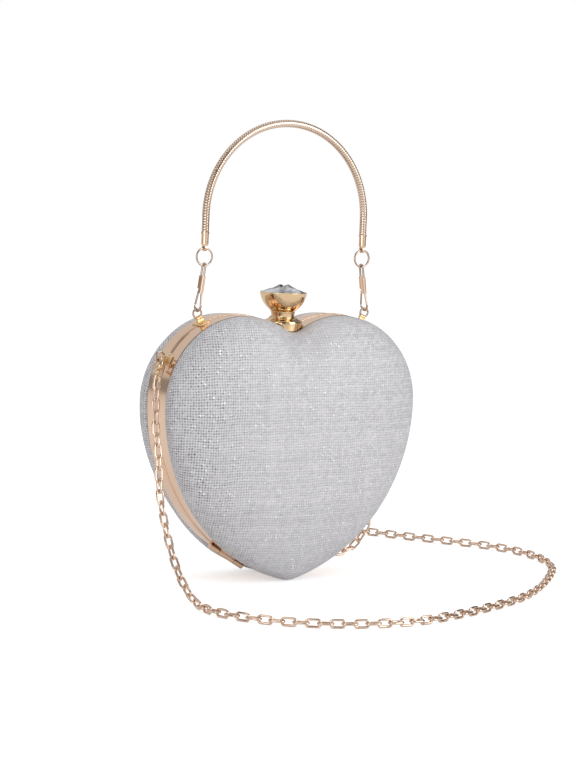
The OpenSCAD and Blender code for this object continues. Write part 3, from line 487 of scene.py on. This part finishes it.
# Lobster clasp: its bow's middle and radius, the angles it spans and half its thickness at places from the
# nose to the root, the collar's profile of (radius, distance) and the end eye
BOW_MID, BOW_R, BOW_FROM, BOW_TO, BOW_THIN = 1.65, 3.1, 338, 51, 0.8
BOW_STEPS, BOW_ROUND, COLLAR_ROUND = 40, 16, 24
BOW_PLACES, BOW_HALVES = (0, 0.06, 0.22, 0.5, 0.78, 0.9, 1), (0.28, 0.62, 0.74, 1.05, 1.45, 1.0, 0.7)
COLLAR = ((1.2, 4.7), (1.5, 5.2), (1.5, 5.7), (1.15, 5.95), (0.85, 6.15), (0.85, 6.4), (1.2, 6.6),
          (1.35, 7.0), (1.2, 7.45), (0.9, 7.7), (0.62, 8.0), (0.5, 8.28))
EYE_R, EYE_WIRE, CLASP_SPREAD = 1.55, 0.7, 24


def lobster_clasp(side, lean, eye):
    """A clasp hung on the side loop: a bow that thickens towards its root, a collar and an end eye."""
    way = unit((side * math.tan(math.radians(CLASP_SPREAD)), -math.tan(math.radians(lean)), -1))
    axis = np.array(eye, float)
    across = np.cross(-way, axis)
    place = np.array(CHAIN_START if side < 0 else CHAIN_END) / MM - way * CLASP_EYE
    bow = []
    for theta in np.linspace(BOW_FROM, BOW_TO, BOW_STEPS):
        half = float(np.interp((BOW_FROM - theta) / (BOW_FROM - BOW_TO), BOW_PLACES, BOW_HALVES))
        a = math.radians(theta)
        out = math.cos(a) * across + math.sin(a) * way
        mid = place + BOW_MID * way + out * (BOW_R + (half - BOW_THIN) * 0.75)
        bow.append([mid + half * (math.cos(b) * out + 1.1 * math.sin(b) * axis) for b in circle(BOW_ROUND)])
    neck = [[place + z * way + r * (math.cos(b) * axis + math.sin(b) * across) for b in circle(COLLAR_ROUND)]
            for r, z in COLLAR]
    ring = torus_rings(place + CLASP_EYE * way, across, way, EYE_R, EYE_WIRE)
    points, faces = join_lofts((loft(bow), loft(neck), loft(ring, closed=True)))[:2]
    name = "left" if side < 0 else "right"
    piece = add_mesh("lobster_clasp_" + name, points, faces, "back", clasp_gold, 45)
    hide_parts("clasp_" + name)
    return piece


def shoulder_chain():
    line = smooth_line(np.array(ROUTE) / MM, 8)
    run = np.concatenate([[0], np.cumsum(np.linalg.norm(np.diff(line, axis=0), axis=1))])
    total = float(run[-1])
    span = LINK_L - LINK_WIRE
    count = 2 * math.ceil(((total - span) / (span - LINK_WIRE - LINK_PLAY) + 1) / 2)
    starts = np.arange(count) * (total - span) / (count - 1)
    heads, tails = (np.stack([np.interp(p, run, line[:, c]) for c in range(3)], 1)
                    for p in (starts, starts + span))
    mids = (heads + tails) / 2
    ways = [unit(v) for v in tails - heads]
    carried = [squared(np.array(FIRST_SIDE), ways[0])]
    for way in ways[1:]:
        carried.append(squared(carried[-1], way))
    lying = np.where(mids[:, 2] < line[:, 2].min() + LINK_WIRE / 2)[0]
    first, last = lying[0], lying[-1]
    lay = nearest_turn(angle_between(carried[first], np.cross(ways[first], (0, 0, 1)), ways[first]))
    wanted = squared(np.cross(LAST_SIDE, ways[-1]), ways[-1])
    end = lay + nearest_turn(angle_between(carried[-1], wanted, ways[-1]) - lay)
    links = []
    for k in range(count):
        roll = float(np.interp(k, [0, first, last, count - 1], [0, lay, lay, end])) + math.pi / 2 * (k % 2)
        links.append(loft(link_points(mids[k], ways[k], turned(carried[k], ways[k], roll)), closed=True))
    points, faces = join_lofts(links)[:2]
    print("shoulder chain: %.1f mm, %d links" % (total, count))
    piece = add_mesh("shoulder_chain", points, faces, "back", wire_gold, 60)
    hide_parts("chain_left", "chain_front", "chain_right")
    lobster_clasp(-1, 38, FIRST_SIDE)
    lobster_clasp(1, -36, LAST_SIDE)


shoulder_chain()

# The heart's outline: points with outward directions, from the cleft round to the right
lobe = np.array([FRAME_W / 2 - LOBE_R, 0.0])
tip = np.array([0.0, -TIP_DROP])
reach = np.linalg.norm(tip - lobe)
tip_way = (tip - lobe) / reach
along = ((SIDE_R - LOBE_R) ** 2 - (SIDE_R - TIP_R) ** 2 + reach ** 2) / (2 * reach)
across = math.sqrt((SIDE_R - LOBE_R) ** 2 - along ** 2)
side_mid = lobe + tip_way * along + np.array([tip_way[1], -tip_way[0]]) * across
cleft = np.array([0.0, math.sqrt((LOBE_R + CLEFT_R) ** 2 - lobe[0] ** 2)])
cleft_angle = math.atan2(lobe[1] - cleft[1], lobe[0])
lobe_end = math.atan2(lobe[1] - side_mid[1], lobe[0] - side_mid[0])
side_end = math.atan2(tip[1] - side_mid[1], tip[0] - side_mid[0])
cleft_bottom = cleft[1] - CLEFT_R
hinge_out = KNUCKLE_D / 2 - FRAME_T / 2
hinge_half = HINGE_L / 2 + RUN_GAP
hinge_turn = math.asin(hinge_half / SIDE_R)
hinge_at = -math.radians(HINGE_ANGLE)
hinge_breaks = (hinge_at + hinge_turn, hinge_at - hinge_turn)


def outline(step, breaks=()):
    """Places of the whole outline, from the cleft round by the right: a point and its way outwards."""
    arcs = ((cleft, CLEFT_R, -math.pi / 2, cleft_angle, -1),
            (lobe, LOBE_R, cleft_angle + math.pi, lobe_end, 1),
            (side_mid, SIDE_R, lobe_end, side_end, 1), (tip, TIP_R, side_end, -math.pi / 2, 1))
    half = []
    for centre, radius, start, stop, sign in arcs:
        stops = [start] + [b for b in breaks if radius == SIDE_R] + [stop]
        for a0, a1 in zip(stops, stops[1:]):
            count = max(3, math.ceil(abs(a1 - a0) * radius / step))
            for i in range(count):
                a = a0 + (a1 - a0) * i / count
                way = np.array([math.cos(a), math.sin(a)])
                half.append((centre + radius * way, sign * way))
    half.append((tip + [0, -TIP_R], np.array([0.0, -1.0])))
    flip = np.array([-1, 1])
    return half + [(p * flip, n * flip) for p, n in reversed(half[1:-1])]


# Frame halves: a section swept round the outline, with the hinge's and the rod's notches. The faces of its
# rounded edge by the cloth, and its last one on the parting line, get a dark metal: painted shade of the gaps
EDGE_FACES, BAND_STEP = range(9, 13), 0.8


def band_section(start, bead):
    """Inset and depth of each corner of the band, from the parting line round the ledge."""
    ledge_y = HALF_D - SPIGOT - SEAT - LEDGE_T
    h = BEAD_H if bead else 0.0
    round_r = 0.16
    top = [(-h * f, max(start, PARTING / 2 + y)) for f, y in
           ((0.0, 0.0), (0.55, 0.0), (0.86, 0.10), (1.0, 0.30), (1.0, BEAD_W - 0.38), (0.86, BEAD_W - 0.14),
            (0.5, BEAD_W), (0.16, BEAD_W + 0.06), (0.0, BEAD_W + 0.28))]
    edge = [(0.0, HALF_D - 2 * round_r), (0.06, HALF_D - 0.8 * round_r), (0.2, HALF_D - 0.25 * round_r),
            (2 * round_r, HALF_D), (FRAME_T, HALF_D)]
    inner = [(FRAME_T, ledge_y + LEDGE_T), (FRAME_T + LEDGE_W, ledge_y + LEDGE_T),
             (FRAME_T + LEDGE_W, ledge_y), (FRAME_T, ledge_y), (FRAME_T, start)]
    return top + edge + inner


def swept_band(name, sign, body, replaced):
    rings = []
    before = None
    rod_r = ROD_D / 2 + 2 * RUN_GAP
    notch_y = KNUCKLE_D / 2 + 2 * RUN_GAP
    axis = np.array([math.sin(-hinge_at), -math.cos(hinge_at)])
    hinge_pos = np.array([-(side_mid[0] + (SIDE_R + hinge_out) * math.cos(hinge_at)),
                          side_mid[1] + (SIDE_R + hinge_out) * math.sin(hinge_at)])
    for p, n in outline(BAND_STEP, hinge_breaks):
        offset = p - hinge_pos
        by_hinge = abs(offset @ axis) < hinge_half + 1e-3 and np.linalg.norm(offset) < HINGE_L
        at_end = by_hinge and abs(offset @ axis) > hinge_half - 1e-3
        in_cleft = p[1] > 0 and abs(p[0]) < SADDLE_D / 2 + RUN_GAP
        round_lobe = math.degrees(math.atan2(p[1], abs(p[0]) - lobe[0]))
        by_lug = min(abs(round_lobe - LUG_ANGLE), abs(round_lobe - SIDE_LUG_ANGLE)) < LUG_CLEAR
        start = PARTING / 2
        if in_cleft and abs(p[0]) < rod_r:
            start = max(start, math.sqrt(rod_r ** 2 - p[0] ** 2))
        plain = (start, not in_cleft and not by_lug)
        notched = (notch_y, False)
        kinds = [notched if by_hinge else plain]
        if at_end:
            kinds = [plain, notched] if before == "plain" else [notched, plain]
        before = "plain" if not by_hinge else "notched"
        for at, bead in kinds:
            rings.append([((p - n * inset)[0], sign * y, (p - n * inset)[1] + BAG_Z)
                          for inset, y in band_section(at, bead)])
    points, faces = loft(rings, closed=True)
    count = len(rings[0])
    # The rim's rounded edge and the parting face get the dark metal, painted shade in the gaps
    dark = (*EDGE_FACES, count - 1)
    piece = add_mesh(name, points, faces, body, gold, 30, grime_and_shade_gold, lambda i: i % count in dark)
    even = piece.modifiers.new("even_faces", "WEIGHTED_NORMAL")
    even.keep_sharp = True
    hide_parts(replaced)


swept_band("band_front", -1, "front", "front_frame")
swept_band("band_back", 1, "back", "back_frame")

# Lugs: a creased sheet across the parting line, a fold round the loop's wire and the loop
SHEET_BOTTOM, SHEET_RIM, SHEET_SLOPE, SHEET_TOP = 0.12, 0.55, 0.93, 1.12
FOLD_R, FOLD_HALF_W, LOOP_WIRE, ON_BAND = 1.2, 1.7, 1.1, 0.02


def lug_piece(side, angle, reach, node):
    start = math.radians(angle)

    def at(s, height, y, curved=True):
        r = LOBE_R + height
        if curved:
            a = start + s / LOBE_R
            x, z = lobe[0] + r * math.cos(a), r * math.sin(a)
        else:
            x = lobe[0] + r * math.cos(start) - s * math.sin(start)
            z = r * math.sin(start) + s * math.cos(start)
        return (side * x, y, z + BAG_Z)

    half_w, half_y = LUG_W / 2, LUG_D / 2
    below = [(-half_y, 0.14), (-half_y * 0.5, SHEET_BOTTOM), (0, SHEET_BOTTOM), (half_y * 0.3, ON_BAND),
             (half_y, ON_BAND)]
    above = [(half_y, SHEET_RIM), (half_y - 0.12, 0.72), (half_y - 0.35, 0.8), (half_y * 0.5, SHEET_SLOPE),
             (0.7, 1.06), (0.25, SHEET_TOP), (-0.25, SHEET_TOP), (-0.7, 1.05), (-half_y * 0.5, 0.9),
             (-half_y + 0.35, 0.78), (-half_y + 0.12, 0.7), (-half_y, SHEET_RIM)]
    rounding = ((0, 0.22), (0.07, 0.08), (0.2, 0), (half_w / 2, 0))
    slices = [(-half_w + s, shrink) for s, shrink in rounding] + [(0, 0)]
    slices += [(half_w - s, shrink) for s, shrink in reversed(rounding)]
    sheet = []
    for s, shrink in slices:
        inwards = 1 - shrink / half_y
        ring = [at(s, max(h + shrink * 0.4, ON_BAND), y * inwards) for y, h in below]
        sheet.append(ring + [at(s, max(h - shrink, ON_BAND), y * inwards) for y, h in above])
    fold_h = reach - LOOP_R
    bend = np.linspace(math.radians(125), -math.radians(125), 15)
    fold = [(0.95, -1.6), (1.15, -1.15), (1.4, -0.9), (fold_h - 0.85, -0.85)]
    fold += [(fold_h + FOLD_R * math.cos(b), -FOLD_R * math.sin(b)) for b in bend]
    fold += [(fold_h - 0.85, 0.85), (1.4, 0.9), (1.15, 1.15), (0.95, 1.6), (0.7, 0)]
    block = [[at(s, h, y, False) for h, y in fold] for s in (-FOLD_HALF_W, -1.62, 1.62, FOLD_HALF_W)]
    out = (side * math.cos(start), 0, math.sin(start))
    tangent = (-side * math.sin(start), 0, math.cos(start))
    loop = torus_rings(at(0, reach, 0, False), out, tangent, LOOP_R, LOOP_WIRE)
    points, faces, starts = join_lofts((loft(sheet), loft(block), loft(loop, closed=True)))
    piece = add_mesh(node + "_sheet", points, faces, "back", lug_gold, 35, ring_gold,
                     lambda i: i >= starts[2])
    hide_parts(node)


# The loops' middles stand this high over the band
LOOP_UP, SIDE_LOOP_UP = 5.9, 4.6
for side, name in ((-1, "left"), (1, "right")):
    lug_piece(side, LUG_ANGLE, LOOP_UP, "handle_lug_" + name)
    lug_piece(side, SIDE_LUG_ANGLE, SIDE_LOOP_UP, "side_lug_" + name)

# Padded halves: skins over the dome, from the rim to the crown
crown = np.array([0.0, -CROWN_DROP])
dome_body = DOME_RISE - EDGE_RISE
CLEFT_EASE, CLEFT_SPREAD = 0.75, 17    # how much gentler the dome rises by the cleft, over these degrees


def dome_place(p, angle, depth):
    """A place of the dome over one outline point, as (x, depth, z)."""
    from_cleft = math.degrees(math.atan2(p[0], p[1] - crown[1]))
    full = FULLNESS - CLEFT_EASE * math.exp(-(from_cleft / CLEFT_SPREAD) ** 2)
    k = math.cos(angle) ** (2 / full)
    s = math.sin(angle) ** (2 / full)
    out = np.linalg.norm(p - crown)
    slope = unit((max(k, 1e-9) ** (full - 1) / out, max(s, 1e-9) ** (full - 1) / dome_body))
    r = k * (out * k + CROWN_R * (1 - k)) - depth * slope[0]
    at = crown + (p - crown) / out * r
    return np.array([at[0], HALF_D + EDGE_RISE + dome_body * s - depth * slope[1], at[1]])


def eased(value, start, length):
    """From nought to one over a length that begins at start."""
    return min(max((value - start) / length, 0), 1)


# Heights where the overhang fades at the top, down the back and near the tip, each with its length
TOP_FADE, LOW_FADE, TIP_FADE, TUCK_IN = (2, 30), (12, 30), (-84, 22), 0.25


def overhang(p, sign):
    """How far the padding stands out over the band: none at the lobes' tops and low on the back."""
    top = eased(p[1], *TOP_FADE)
    low = eased(-p[1], *LOW_FADE) * eased(p[1], *TIP_FADE) if sign > 0 else 0
    return OVERHANG * (1 - top) * (1 - low) - TUCK_IN * max(top, low)


def skin_rings(places, tuck, angles, depth, sign):
    """Rings of one face of a skin: the tuck by the rim, then the dome."""
    hangs = [overhang(p, sign) for p, n in places]
    rings = [[np.array([(p - n * (inset - f * hang))[0], y, (p - n * (inset - f * hang))[1]])
              for (p, n), hang in zip(places, hangs)] for inset, y, f in tuck]
    rings += [[dome_place(p + n * hang, a, depth) for (p, n), hang in zip(places, hangs)] for a in angles]
    return rings


# Steps round the outline, in millimetres, and rings up the dome, which lie closer near the rim
FINE, COARSE, CROWDING = (1.3, 46), (2.6, 26), 1.45


def padded_half(name, sign, body, replaced, material, outer_depth, thickness, tuck_from, fine):
    """A closed skin; the cloth's own places in millimetres go along as an attribute."""
    step, count = FINE if fine else COARSE
    places = outline(step)
    angles = [math.pi / 2 * (i / count) ** CROWDING for i in range(count)]
    rim_inset, rim_y = tuck_from
    if fine:
        turns = [math.pi / 2 * i / 7 for i in range(7)]
        rise = HALF_D + EDGE_RISE - rim_y
        tuck = [(rim_inset * (1 - math.sin(u)), rim_y + rise * (1 - math.cos(u)), math.sin(u)) for u in turns]
        inner_tuck = [(i + thickness, y + thickness / 4, f) for i, y, f in tuck]
        inner_tuck[0] = (rim_inset + thickness, rim_y, 0)
    else:
        tuck = [(rim_inset, rim_y, 0), (rim_inset, HALF_D * 0.5 + rim_y * 0.5, 0),
                (rim_inset, HALF_D + EDGE_RISE / 3, 0)]
        inner_tuck = [(i + thickness, y, f) for i, y, f in tuck]
    outer = skin_rings(places, tuck, angles, outer_depth, sign)
    inner = skin_rings(places, inner_tuck, angles, outer_depth + thickness, sign)
    tops = [np.array([crown[0], HALF_D + DOME_RISE - d, crown[1]])
            for d in (outer_depth, outer_depth + thickness)]
    rings = outer[::-1] + inner
    made, faces = loft(rings, first_tip=tops[0], last_tip=tops[1])

    def cloth_places(stack, top):
        last = [top] * len(places)
        runs = [np.zeros(len(places))]
        for ring in reversed(stack):
            runs.append(runs[-1] + np.array([np.linalg.norm(a - b) for a, b in zip(ring, last)]))
            last = ring
        ways = [unit(np.array([p[0], p[1]]) - crown) for p, n in places]
        return [[(w[0] * r, w[1] * r, 0.0) for w, r in zip(ways, run)] for run in reversed(runs[1:])]

    spread = cloth_places(outer, tops[0])[::-1] + cloth_places(inner, tops[1])
    flat = [c for ring in spread for c in ring] + [(0, 0, 0), (0, 0, 0)]
    piece = new_piece(name, [(q[0], sign * q[1], q[2] + BAG_Z) for q in made], faces)
    mesh = piece.data
    attribute = mesh.attributes.new("cloth_mm", "FLOAT_VECTOR", "POINT")
    attribute.data.foreach_set("vector", np.array(flat, np.float32).ravel())
    work = bmesh.new()
    work.from_mesh(mesh)
    bmesh.ops.recalc_face_normals(work, faces=work.faces)
    work.to_mesh(mesh)
    work.free()
    mesh.shade_smooth()
    mesh.materials.append(material)
    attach(piece, body)
    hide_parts(replaced)


shell_depth = COVER_T + SKIN_GAP
lining_depth = shell_depth + SHELL_T + SKIN_GAP
lining_inset = FRAME_T + 2 * SEAT + SHELL_T + SKIN_GAP
for sign, half in ((-1, "front"), (1, "back")):
    padded_half("cloth_" + half, sign, half, half + "_cover", cloth, 0, COVER_T,
                (2 * SEAT, HALF_D + SEAT), True)
    padded_half("moulded_shell_" + half, sign, half, half + "_shell", shell_plastic, shell_depth, SHELL_T,
                (FRAME_T + 2 * SEAT, HALF_D - SPIGOT), False)
    padded_half("lining_cloth_" + half, sign, half, half + "_lining", lining_cloth, lining_depth, LINING_T,
                (lining_inset, HALF_D - SPIGOT), False)


# Snake chain of the handle: close zigzag scales on a bent core, with wider grooves on the outside of the
# bend. A groove's half width is a share of a scale's length
GROOVE_HALF, GROOVE_WIDER = 0.08, 0.13
SCALES, SCALE_STEPS, SCALE_DEPTH, SCALE_ROWS, WAVES, WAVE = 124, 48, 0.26, 6, 4, 0.42


def snake_handle():
    arch = [(-ARCH_R * math.cos(a), -ARCH_R + ARCH_R * math.sin(a)) for a in np.linspace(0, math.pi, 181)]
    core = np.array([(-ARCH_R, -ARCH_R - LEG_L), *arch, (ARCH_R, -ARCH_R - LEG_L)])
    run = np.concatenate([[0], np.cumsum(np.linalg.norm(np.diff(core, axis=0), axis=1))])
    total = float(run[-1])

    def at(place):
        """Middle of the chain at this length along it, and the way out of the bend."""
        x, z = (np.interp(place, run, core[:, c]) for c in (0, 1))
        if place < LEG_L:
            way = (0.0, 1.0)
        elif place > total - LEG_L:
            way = (0.0, -1.0)
        else:
            a = math.pi * (place - LEG_L) / (total - 2 * LEG_L)
            way = (math.sin(a), math.cos(a))
        return np.array([x, 0, z]), np.array([-way[1], 0, way[0]])

    rings = []
    for k in range(SCALES):
        for row in range(SCALE_ROWS):
            ring = []
            for b in circle(SCALE_STEPS):
                half = GROOVE_HALF + GROOVE_WIDER * max(0.0, math.cos(b)) ** 1.5
                f, h = ((0, 1), (half * 0.7, 0.8), (half + 0.06, 0.08), (0.5, 0), (0.94 - half, 0.08),
                        (1 - half * 0.7, 0.8))[row]
                wave = WAVE * abs(((WAVES * b / (2 * math.pi)) % 1) * 2 - 1) - WAVE / 2
                centre, out = at(min(max((k + f + wave) * total / SCALES, 0), total))
                r = SNAKE_D / 2 - SCALE_DEPTH * h
                ring.append(centre + r * (math.cos(b) * out + math.sin(b) * np.array([0, 1, 0])))
            rings.append(ring)
    points, faces = loft(rings)
    # The faces on the grooves' floors get the dark metal: grime and painted shade in the grooves
    piece = add_mesh("snake_chain", points, faces, "handle", bright_gold, 50, grime_and_shade_gold,
                     lambda i: len(faces[i]) == 4 and (i // SCALE_STEPS) % SCALE_ROWS in (0, SCALE_ROWS - 1))
    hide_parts("handle_chain")


snake_handle()

# Knob: smooth profiles for the cup on its rod and for the saddle that hugs the cleft
CUP_R, CUP_H, CUP_RISE, NECK_R, TRAVEL = 12.7, 10.2, 10.46, 6.5, 2.6
WELL, RIM_T, WELL_SLOPE, LATCH_DROP, TURNED_STEPS = 0.62, 0.7, 1.4, 8.4, 120
cup_z = cleft_bottom + CUP_RISE


def turned_piece(name, profile, material, body, replaced, bottom=None):
    """A turned piece over the cleft; its lowest rings may follow a height by place."""
    angles = circle(TURNED_STEPS)
    rings = [[(r * math.cos(a), r * math.sin(a), z) for a in angles] for r, z in profile]
    if bottom:
        rings = [[(x, y, max(z, bottom(x, y))) for x, y, z in ring] for ring in rings]
    points, faces = loft(rings, closed=bool(bottom), first_tip=None if bottom else (0, 0, profile[0][1]),
                         last_tip=None if bottom else (0, 0, profile[-1][1]))
    points = [(x, y, z + BAG_Z) for x, y, z in points]
    piece = add_mesh(name, points, faces, body, material, 32)
    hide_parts(replaced)


outside = smooth_line([(6.56, -0.42), (6.75, 0.02), (7.6, 0.85), (9.6, 2.9), (11.25, 5.35), (12.2, 7.7),
                       (12.6, 9.4), (CUP_R, 10.0)], 6)
cup_profile = [(0.2, WELL * CUP_H), (CUP_R - RIM_T - WELL_SLOPE, WELL * CUP_H), (CUP_R - RIM_T, CUP_H - 0.1),
               (CUP_R - RIM_T + 0.12, CUP_H), (CUP_R - 0.2, CUP_H), (CUP_R - 0.04, CUP_H - 0.1)]
cup_profile += [tuple(p) for p in outside[::-1]]
cup_profile += [(6.56, -0.7), (6.42, -0.85), (6.28, -1.6), (6.2, -2.6), (6.26, -3.5), (6.42, -4.1),
                (NECK_R, -4.6), (NECK_R, -5.2), (6.2, 5.0 - CUP_RISE), (ROD_D / 2, 5.0 - CUP_RISE),
                (ROD_D / 2, -CUP_RISE - FRAME_T - LATCH_DROP), (0.2, -CUP_RISE - FRAME_T - LATCH_DROP)]
turned_piece("knob_bell", [(r, z + cup_z) for r, z in cup_profile], amber_gold, "knob", "knob_cup")


def heart_top(x, y):
    """Height of the band's outside under the saddle, with play over the front half."""
    swing = CLEFT_R * math.cos(cleft_angle)
    if abs(x) < swing:
        z = cleft[1] - math.sqrt(CLEFT_R ** 2 - x * x)
    else:
        z = math.sqrt(LOBE_R ** 2 - (lobe[0] - abs(x)) ** 2)
    return z + (RUN_GAP if y < 0 else 0.02)


saddle_r = SADDLE_D / 2
flare = smooth_line([(7.22, 7.3), (7.4, 6.9), (7.95, 6.35), (8.75, 5.95), (9.7, 5.6), (10.2, 5.2),
                     (saddle_r, 4.6)], 5)
saddle_profile = [(NECK_R + 0.2, cleft_bottom), (NECK_R + 0.2, cleft_bottom + 7.3),
                  (NECK_R + 0.32, cleft_bottom + 7.46), (7.1, cleft_bottom + 7.46)]
saddle_profile += [(r, z + cleft_bottom) for r, z in flare]
saddle_profile += [(saddle_r, cleft_bottom + z) for z in (3.6, 2.6, 1.6, 0.8, 0.0)]
turned_piece("knob_flare", saddle_profile, amber_gold, "back", "knob_saddle", heart_top)


# Latch spring: a coil between the bracket's floor and the tongue; it stays rigid and does not shorten as the
# knob goes down
COIL_H, TONGUE, COIL_R, COIL_WIRE_R, COIL_TURNS, TURN_STEPS, WIRE_STEPS = 7.4, 1.2, 2.1, 0.3, 4, 28, 10


def latch_coil():
    foot = cleft_bottom - FRAME_T - LATCH_DROP - COIL_H + BAG_Z
    low, rise = foot + COIL_WIRE_R + SEAT, COIL_H - TONGUE - 2 * COIL_WIRE_R - 2 * SEAT
    rings = []
    for i in range(COIL_TURNS * TURN_STEPS + 1):
        a = 2 * math.pi * i / TURN_STEPS
        out = np.array([math.cos(a), math.sin(a), 0])
        core = COIL_R * out + [0, 0, low + rise * i / (COIL_TURNS * TURN_STEPS)]
        rings.append([core + COIL_WIRE_R * (math.cos(b) * out + math.sin(b) * np.array([0, 0, 1]))
                      for b in circle(WIRE_STEPS)])
    points, faces = loft(rings)
    piece = add_mesh("latch_coil", points, faces, "back", spring_wire, 60)
    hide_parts("latch_spring")
    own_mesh(piece)


latch_coil()

# Materials of the nodes that stay
by_slot = {"frame_gold": gold, "knob_gold": amber_gold, "glitter_cloth": cloth, "lining": lining_cloth,
           "shell": shell_plastic, "crystal": glass, "spring_steel": spring_wire}
slot_of = {part["node"]: part["material_slot"] for part in frame["record"]["subparts"]}
WIRE_NODES = ("handle_ring", "hook_wire", "hook_gate")
for name, piece in nodes.items():
    material = by_slot[slot_of[name]]
    if name.startswith(WIRE_NODES):
        material = ring_gold
    if name.startswith("clasp"):
        material = clasp_gold
    if not piece.data.materials:
        piece.data.materials.append(material)
    for index in range(len(piece.data.materials)):
        piece.data.materials[index] = material


# Floor, dome, lamps and world
def stage_material(name, colour, lift, mirror_lift):
    """A plain pale surface that the camera, and less so metal and glass, see brighter by a fixed lift."""
    material = bpy.data.materials.new(name)
    material.use_nodes = True
    material.node_tree.nodes.clear()
    n = Nodes(material.node_tree)
    direct = n.math("MULTIPLY", n.rays("Is Camera Ray"), lift)
    mirrored = n.math("MULTIPLY", n.rays("Is Glossy Ray", "Is Transmission Ray"), mirror_lift)
    glow = n.node("ShaderNodeEmission", None, n.math("ADD", direct, mirrored))
    diffuse = n.node("ShaderNodeBsdfDiffuse", (*colour, 1))
    both = n.node("ShaderNodeAddShader", diffuse.outputs[0], glow.outputs[0])
    n.node("ShaderNodeOutputMaterial", both.outputs[0])
    return material


# The floor reaches six metres each way
REACH = 6000
corners = ((-REACH, -REACH), (REACH, -REACH), (REACH, REACH), (-REACH, REACH))
floor = new_piece("floor", [(x, y, FLOOR_Z) for x, y in corners], [(0, 1, 2, 3)])
floor.data.materials.append(stage_material("floor_white", (0.86, 0.86, 0.86), 0.5, 0.06))


# Dome that only glossy rays see: plain grey walls with soft boxes and flags, as round a table in a studio.
# Each box has its azimuths in degrees, its heights as sines, and its brightness
DOME_LEVEL, DOME_R, DOME_LIFT, AZIMUTH_SOFT, HEIGHT_SOFT = 0.66, 3000, 2, 0.03, 0.02
BOXES = ((-102, -84, -0.1, 0.9, 0.03), (-82, -60, -0.1, 0.5, 1.05), (-58, -8, 0.08, 0.85, 0.10),
         (-6, 14, 0.3, 0.9, 0.5), (16, 58, 0.10, 0.55, 1.15), (60, 104, -0.1, 0.75, 0.08),
         (118, 146, 0.02, 0.7, 0.2), (150, 168, 0.6, 0.9, 0.9), (-150, -112, 0.72, 0.97, 0.25),
         (-166, -128, -0.05, 0.13, 0.28), (-181, 181, 0.93, 1.2, 0.32))


def reflection_dome():
    around, upwards = 64, 16
    rings = []
    for j in range(upwards):
        e = math.pi / 2 * j / upwards
        rings.append([(DOME_R * math.cos(e) * math.cos(a), DOME_R * math.cos(e) * math.sin(a),
                       DOME_R * math.sin(e)) for a in circle(around)])
    points, faces = loft(rings, last_tip=(0, 0, DOME_R))
    dome = new_piece("dome", [(x, y, z + FLOOR_Z + DOME_LIFT) for x, y, z in points],
                     [face for face in faces if len(face) < around])
    s = Shader("dome_light", Roughness=1.0, Base_Color=(0, 0, 0, 1), Specular_IOR_Level=0,
               Emission_Color=(1, 1, 1, 1))
    way = s.node("ShaderNodeSeparateXYZ", s.vector("NORMALIZE", s.place()))
    turn_round = s.math("ARCTAN2", way.outputs[0], s.math("MULTIPLY", way.outputs[1], -1))

    def band(value, low, high, soft):
        """One between low and high, with soft ends."""
        rises = s.span(value, low - soft, low + soft)
        return s.math("MULTIPLY", rises, s.span(value, high - soft, high + soft, 1.0, 0.0))

    level = DOME_LEVEL
    for az_low, az_high, low, high, shade in BOXES:
        part = s.math("MULTIPLY", band(turn_round, math.radians(az_low), math.radians(az_high), AZIMUTH_SOFT),
                      band(way.outputs[2], low, high, HEIGHT_SOFT))
        near = s.math("MULTIPLY", s.math("SUBTRACT", 1.0, part), level)
        level = s.math("ADD", near, s.math("MULTIPLY", part, shade))
    s.set("Emission Strength", level)
    dome.data.materials.append(s.material)
    dome.visible_camera = False
    dome.visible_diffuse = False
    dome.visible_transmission = False
    dome.visible_shadow = False


reflection_dome()


def area_light(name, place, target, size, power):
    data = bpy.data.lights.new(name, "AREA")
    data.shape = "RECTANGLE"
    data.size, data.size_y = size
    data.energy = power
    lamp = linked(name, data)
    lamp.location = place
    lamp.rotation_euler = (Vector(target) - Vector(place)).to_track_quat("-Z", "Y").to_euler()


middle = (0, 0, -0.13)
area_light("key", (0.9, -1.5, 0.45), middle, (1.0, 1.0), 9.7)
area_light("fill", (-1.4, -1.1, 0.1), middle, (1.2, 1.2), 5.2)
area_light("top", (0.0, 0.3, 1.5), middle, (1.2, 1.2), 4.2)

world = bpy.data.worlds.new("studio")
bpy.context.scene.world = world
world.use_nodes = True
world.node_tree.nodes.clear()
sky = Nodes(world.node_tree)
white, sky_level = (1, 1, 1, 1), 0.66
lighting = sky.node("ShaderNodeBackground", white, sky_level)
seen = sky.node("ShaderNodeBackground", white, 1.0)
choice = sky.node("ShaderNodeMixShader", sky.rays("Is Camera Ray", "Is Glossy Ray", "Is Transmission Ray"),
                  lighting.outputs[0], seen.outputs[0])
sky.node("ShaderNodeOutputWorld", choice.outputs[0])

bpy.context.scene.view_settings.view_transform = "Standard"
